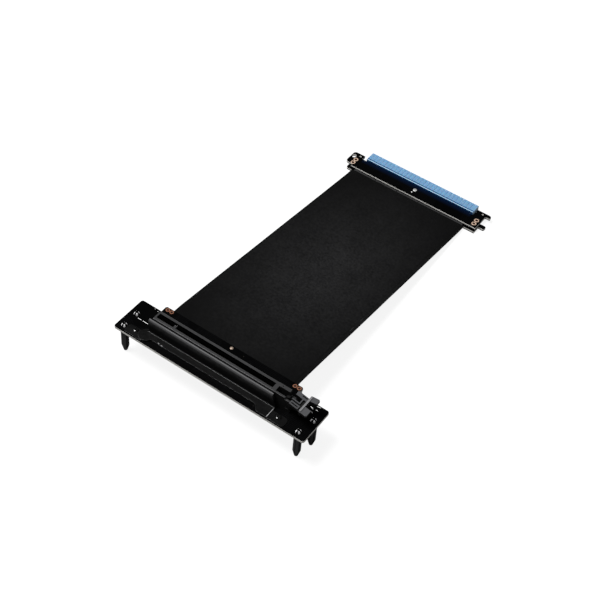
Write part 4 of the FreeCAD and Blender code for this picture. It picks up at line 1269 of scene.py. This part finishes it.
@dataclass
class CableSleeve:
    """Cloth sleeve over the flat cables, from the slot's board down to the plug's."""

    node: str = "cable_wrap"
    cables: tuple[str, ...] = ("flat_cable_1", "flat_cable_2", "flat_cable_3", "flat_cable_4",
                               "flat_cable_5")
    start_y: float = -93.25
    end_y: float = 103.85
    width: float = 93.0
    thickness: float = 1.6
    start_x: float = -3.4
    end_x: float = -0.3
    start_z: float = 20.1
    drop: float = 18.0
    bend: float = 12.0
    hem: float = 2.6
    hem_step: float = 0.28
    valley: float = 0.14
    valley_width: float = 2.2
    ripple: float = 0.16
    columns: int = 186
    rows: int = 394

    def centre(self, t: float) -> Pair:
        """Return x and z of the middle line at t mm from the start."""
        length = self.end_y - self.start_y
        slope = self.drop / (length - self.bend)
        if t < self.bend:
            fall = slope * t * t / (2 * self.bend)
        elif t > length - self.bend:
            fall = self.drop - slope * (length - t) ** 2 / (2 * self.bend)
        else:
            fall = slope * (t - self.bend / 2)
        return self.start_x + (self.end_x - self.start_x) * t / length, self.start_z - fall

    def valleys(self) -> list[float]:
        """Return the places across the sleeve between neighbouring cables."""
        middles = sorted(sum(c.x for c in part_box(node)) / 2 for node in self.cables)
        mean = sum(middles) / len(middles)
        return [(a + b) / 2 / MM - mean / MM for a, b in zip(middles, middles[1:])]

    def half_height(self, across: float, valleys: Sequence[float]) -> float:
        """Return half the thickness at a distance from the middle line.

        Args:
            across: Distance from the middle line.
            valleys: Places of the valleys across the sleeve.

        Returns:
            Height above or below the middle surface, in millimetres.
        """
        side = self.width / 2 - abs(across)
        half = self.thickness / 2
        half -= self.valley * sum(math.exp(-((across - v) / self.valley_width) ** 2) for v in valleys)
        fold = min(max((self.hem + 0.4 - side) / 0.8, 0.0), 1.0)
        half -= self.hem_step * fold * fold * (3 - 2 * fold)
        round_edge = min(side / 0.5, 1.0)
        return max(half, 0.2) * math.sqrt(max(1 - (1 - round_edge) ** 2, 0.0))

    def section(self) -> list[Pair]:
        """Return the loop of (across, height) points, along the top and back underneath."""
        valleys = self.valleys()
        tops = []
        for column in range(self.columns + 1):
            turn = (column / self.columns - 0.5) * math.pi * 0.9
            across = self.width / 2 * math.sin(turn) / math.sin(math.pi * 0.45)
            tops.append((across, self.half_height(across, valleys)))
        return tops + [(across, -height) for across, height in tops[-2:0:-1]]

    def wave(self, across: float, along: float) -> float:
        """Return the soft unevenness of the cloth at a place, in millimetres."""
        length = self.end_y - self.start_y
        calm = min(along, length - along, 12.0) / 12.0
        soft = noise.noise(Vector((across / 26.0, along / 34.0, 3.1)))
        fine = noise.noise(Vector((across / 7.0, along / 10.0, 8.7)))
        return self.ripple * (soft + 0.35 * fine) * calm

    def build(self) -> None:
        """Make the sleeve's mesh and dress the cables inside it."""
        length = self.end_y - self.start_y
        section = self.section()
        loops = []
        for row in range(self.rows + 1):
            along = length * row / self.rows
            middle_x, middle_z = self.centre(along)
            loops.append([(middle_x + x, self.start_y + along, middle_z + z + self.wave(x, along))
                          for x, z in section])
        piece = skinned("cloth_sleeve", loops)
        placed(piece, CLOTH, replaces=[self.node])
        for cable in self.cables:
            paint_node(cable, JACKET)


@dataclass
class EdgeCap:
    """Clear blue cap over the plug's contact edge."""

    edge_round: float = 0.1
    front_y: float = 116.55
    end_x: float = 45.5
    groove_y: float = 117.45
    groove_width: float = 0.4
    groove_floor: float = 5.45
    top: float = 5.8

    def tones(self, piece: Piece) -> None:
        """Set the tone of each face: pale thin lip, painted shade in the groove, on the side walls of the ribs
        and in the mouth, and a painted highlight on the end face.
        """
        for finish in (CAP, CAP_LIP_AND_HIGHLIGHT, CAP_SHADE, CAP_MOUTH_SHADE):
            piece.data.materials.append(finish.material())
        back = self.groove_y + self.groove_width
        for face in piece.data.polygons:
            x, y, z = face.center / MM
            if y < self.front_y + 0.06 and face.normal.y < -0.5:
                face.material_index = 3
            elif face.normal.x > 0.3 and x > self.end_x - 0.12:
                face.material_index = 1
            elif self.groove_y - 0.05 < y < back + 0.05 and z > self.groove_floor - 0.05:
                face.material_index = 2 if z < self.top - 0.01 else face.material_index
            elif y < self.groove_y and z > self.top - 0.2:
                face.material_index = 1
            elif y > back and z > self.top - 0.12 and abs(face.normal.x) > 0.3:
                face.material_index = 2

    def build(self) -> None:
        """Make a refined copy of the cap."""
        piece = bevelled(copy_of("plug_cap", "plug_cap_soft"), self.edge_round)
        self.tones(piece)
        placed(piece, CAP, replaces=["plug_cap"])


@dataclass
class Lamp:
    """Soft square lamp aimed at a point of the part."""

    name: str
    towards: Point
    distance: float
    size: float
    power: float
    aim: Point = (0.0, 0.0, 0.02)

    def build(self) -> None:
        """Hang the lamp."""
        data = bpy.data.lights.new(self.name, "AREA")
        data.shape = "SQUARE"
        data.size = self.size
        data.energy = self.power
        lamp = bpy.data.objects.new(self.name, data)
        away = Vector(self.towards).normalized()
        lamp.location = Vector(self.aim) + away * self.distance
        lamp.rotation_mode = "QUATERNION"
        lamp.rotation_quaternion = away.to_track_quat("Z", "Y")
        bpy.context.scene.collection.objects.link(lamp)


@dataclass
class Studio:
    """Pale floor and backdrop, soft lamps and the camera at the photo's angle."""

    turn: float = 30.92
    tilt: float = 47.55
    roll: float = 5.66
    camera_at: Point = (0.264998, -0.470437, 0.572692)
    lens: float = 72.162
    ambient: float = 0.13
    reflected: float = 0.035
    floor_glow: float = 0.88
    lamps: tuple[Lamp, ...] = (
        Lamp("key", (-0.33, -0.22, 0.9), 1.3, 0.5, 20.0),
        Lamp("side", (0.9, -0.35, 0.5), 1.4, 0.3, 0.6),
        Lamp("glint_left", (-0.6, 0.1, 0.8), 1.2, 0.07, 0.6),
        Lamp("glint_right", (0.25, 0.55, 0.8), 1.2, 0.07, 0.6),
    )

    def build(self) -> None:
        """Set up the view, the world, the floor and the lamps."""
        bpy.context.scene.view_settings.view_transform = "Standard"
        self.make_camera()
        self.make_world()
        self.make_floor()
        for lamp in self.lamps:
            lamp.build()

    def make_camera(self) -> None:
        """Place the camera by its turn, tilt and roll."""
        a, e, r = (math.radians(value) for value in (self.turn, self.tilt, self.roll))
        forward = Vector((-math.sin(a) * math.cos(e), math.cos(a) * math.cos(e), -math.sin(e)))
        right = Vector((math.cos(a), math.sin(a), 0))
        up = right.cross(forward)
        across = right * math.cos(r) + up * math.sin(r)
        upward = up * math.cos(r) - right * math.sin(r)
        data = bpy.data.cameras.new("camera")
        data.sensor_width = 36
        data.lens = self.lens
        data.clip_start = 0.01
        camera = bpy.data.objects.new("camera", data)
        turn = Matrix((across, upward, -forward)).transposed().to_4x4()
        camera.matrix_world = Matrix.Translation(self.camera_at) @ turn
        bpy.context.scene.collection.objects.link(camera)
        bpy.context.scene.camera = camera

    def make_world(self) -> None:
        """Make a world that is white to the camera and dim to everything else."""
        world = bpy.data.worlds.new("studio")
        world.use_nodes = True
        bpy.context.scene.world = world
        sheet = NodeSheet(world.node_tree)
        path = sheet.add("ShaderNodeLightPath")
        direct = sheet.math("MAXIMUM", path.outputs["Is Camera Ray"], path.outputs["Is Transmission Ray"])
        other = sheet.math("MULTIPLY_ADD", path.outputs["Is Glossy Ray"], self.reflected - self.ambient,
                           self.ambient)
        strength = sheet.math("MAXIMUM", direct, other)
        glow = sheet.add("ShaderNodeBackground", {"Color": (1, 1, 1, 1), "Strength": strength})
        sheet.add("ShaderNodeOutputWorld", {"Surface": glow.outputs[0]})

    def make_floor(self) -> None:
        """Make the floor: pale, with its own glow to the camera so that only a faint shadow shows."""
        shape = bmesh.new()
        bmesh.ops.create_grid(shape, x_segments=1, y_segments=1, size=3000)
        floor = from_bmesh("floor", shape)
        made = bpy.data.materials.new("floor_pale")
        made.use_nodes = True
        sheet = NodeSheet(made.node_tree)
        path = sheet.add("ShaderNodeLightPath")
        matt = sheet.add("ShaderNodeBsdfDiffuse", {"Color": (0.17, 0.17, 0.17, 1)})
        glow = sheet.add("ShaderNodeEmission", {
            "Color": (1, 1, 1, 1),
            "Strength": sheet.math("MULTIPLY", path.outputs["Is Camera Ray"], self.floor_glow)})
        both = sheet.add("ShaderNodeAddShader", {0: matt.outputs[0], 1: glow.outputs[0]})
        sheet.add("ShaderNodeOutputMaterial", {"Surface": both.outputs[0]})
        floor.data.materials.append(made)


def main() -> None:
    """Build every sub-assembly, then light it."""
    logging.basicConfig(level=logging.INFO, format="%(name)s: %(message)s")
    for part in (CircuitBoards(), SupportPosts(), CardSlot(), SpringContacts(), Guard(), PlatedHoles(),
                 SolderPoints(), ThinMarks(), GLINT_MARKS, CableSleeve(), GoldFingers(), EdgeCap(), Studio()):
        part.build()


if __name__ == "__main__":
    main()
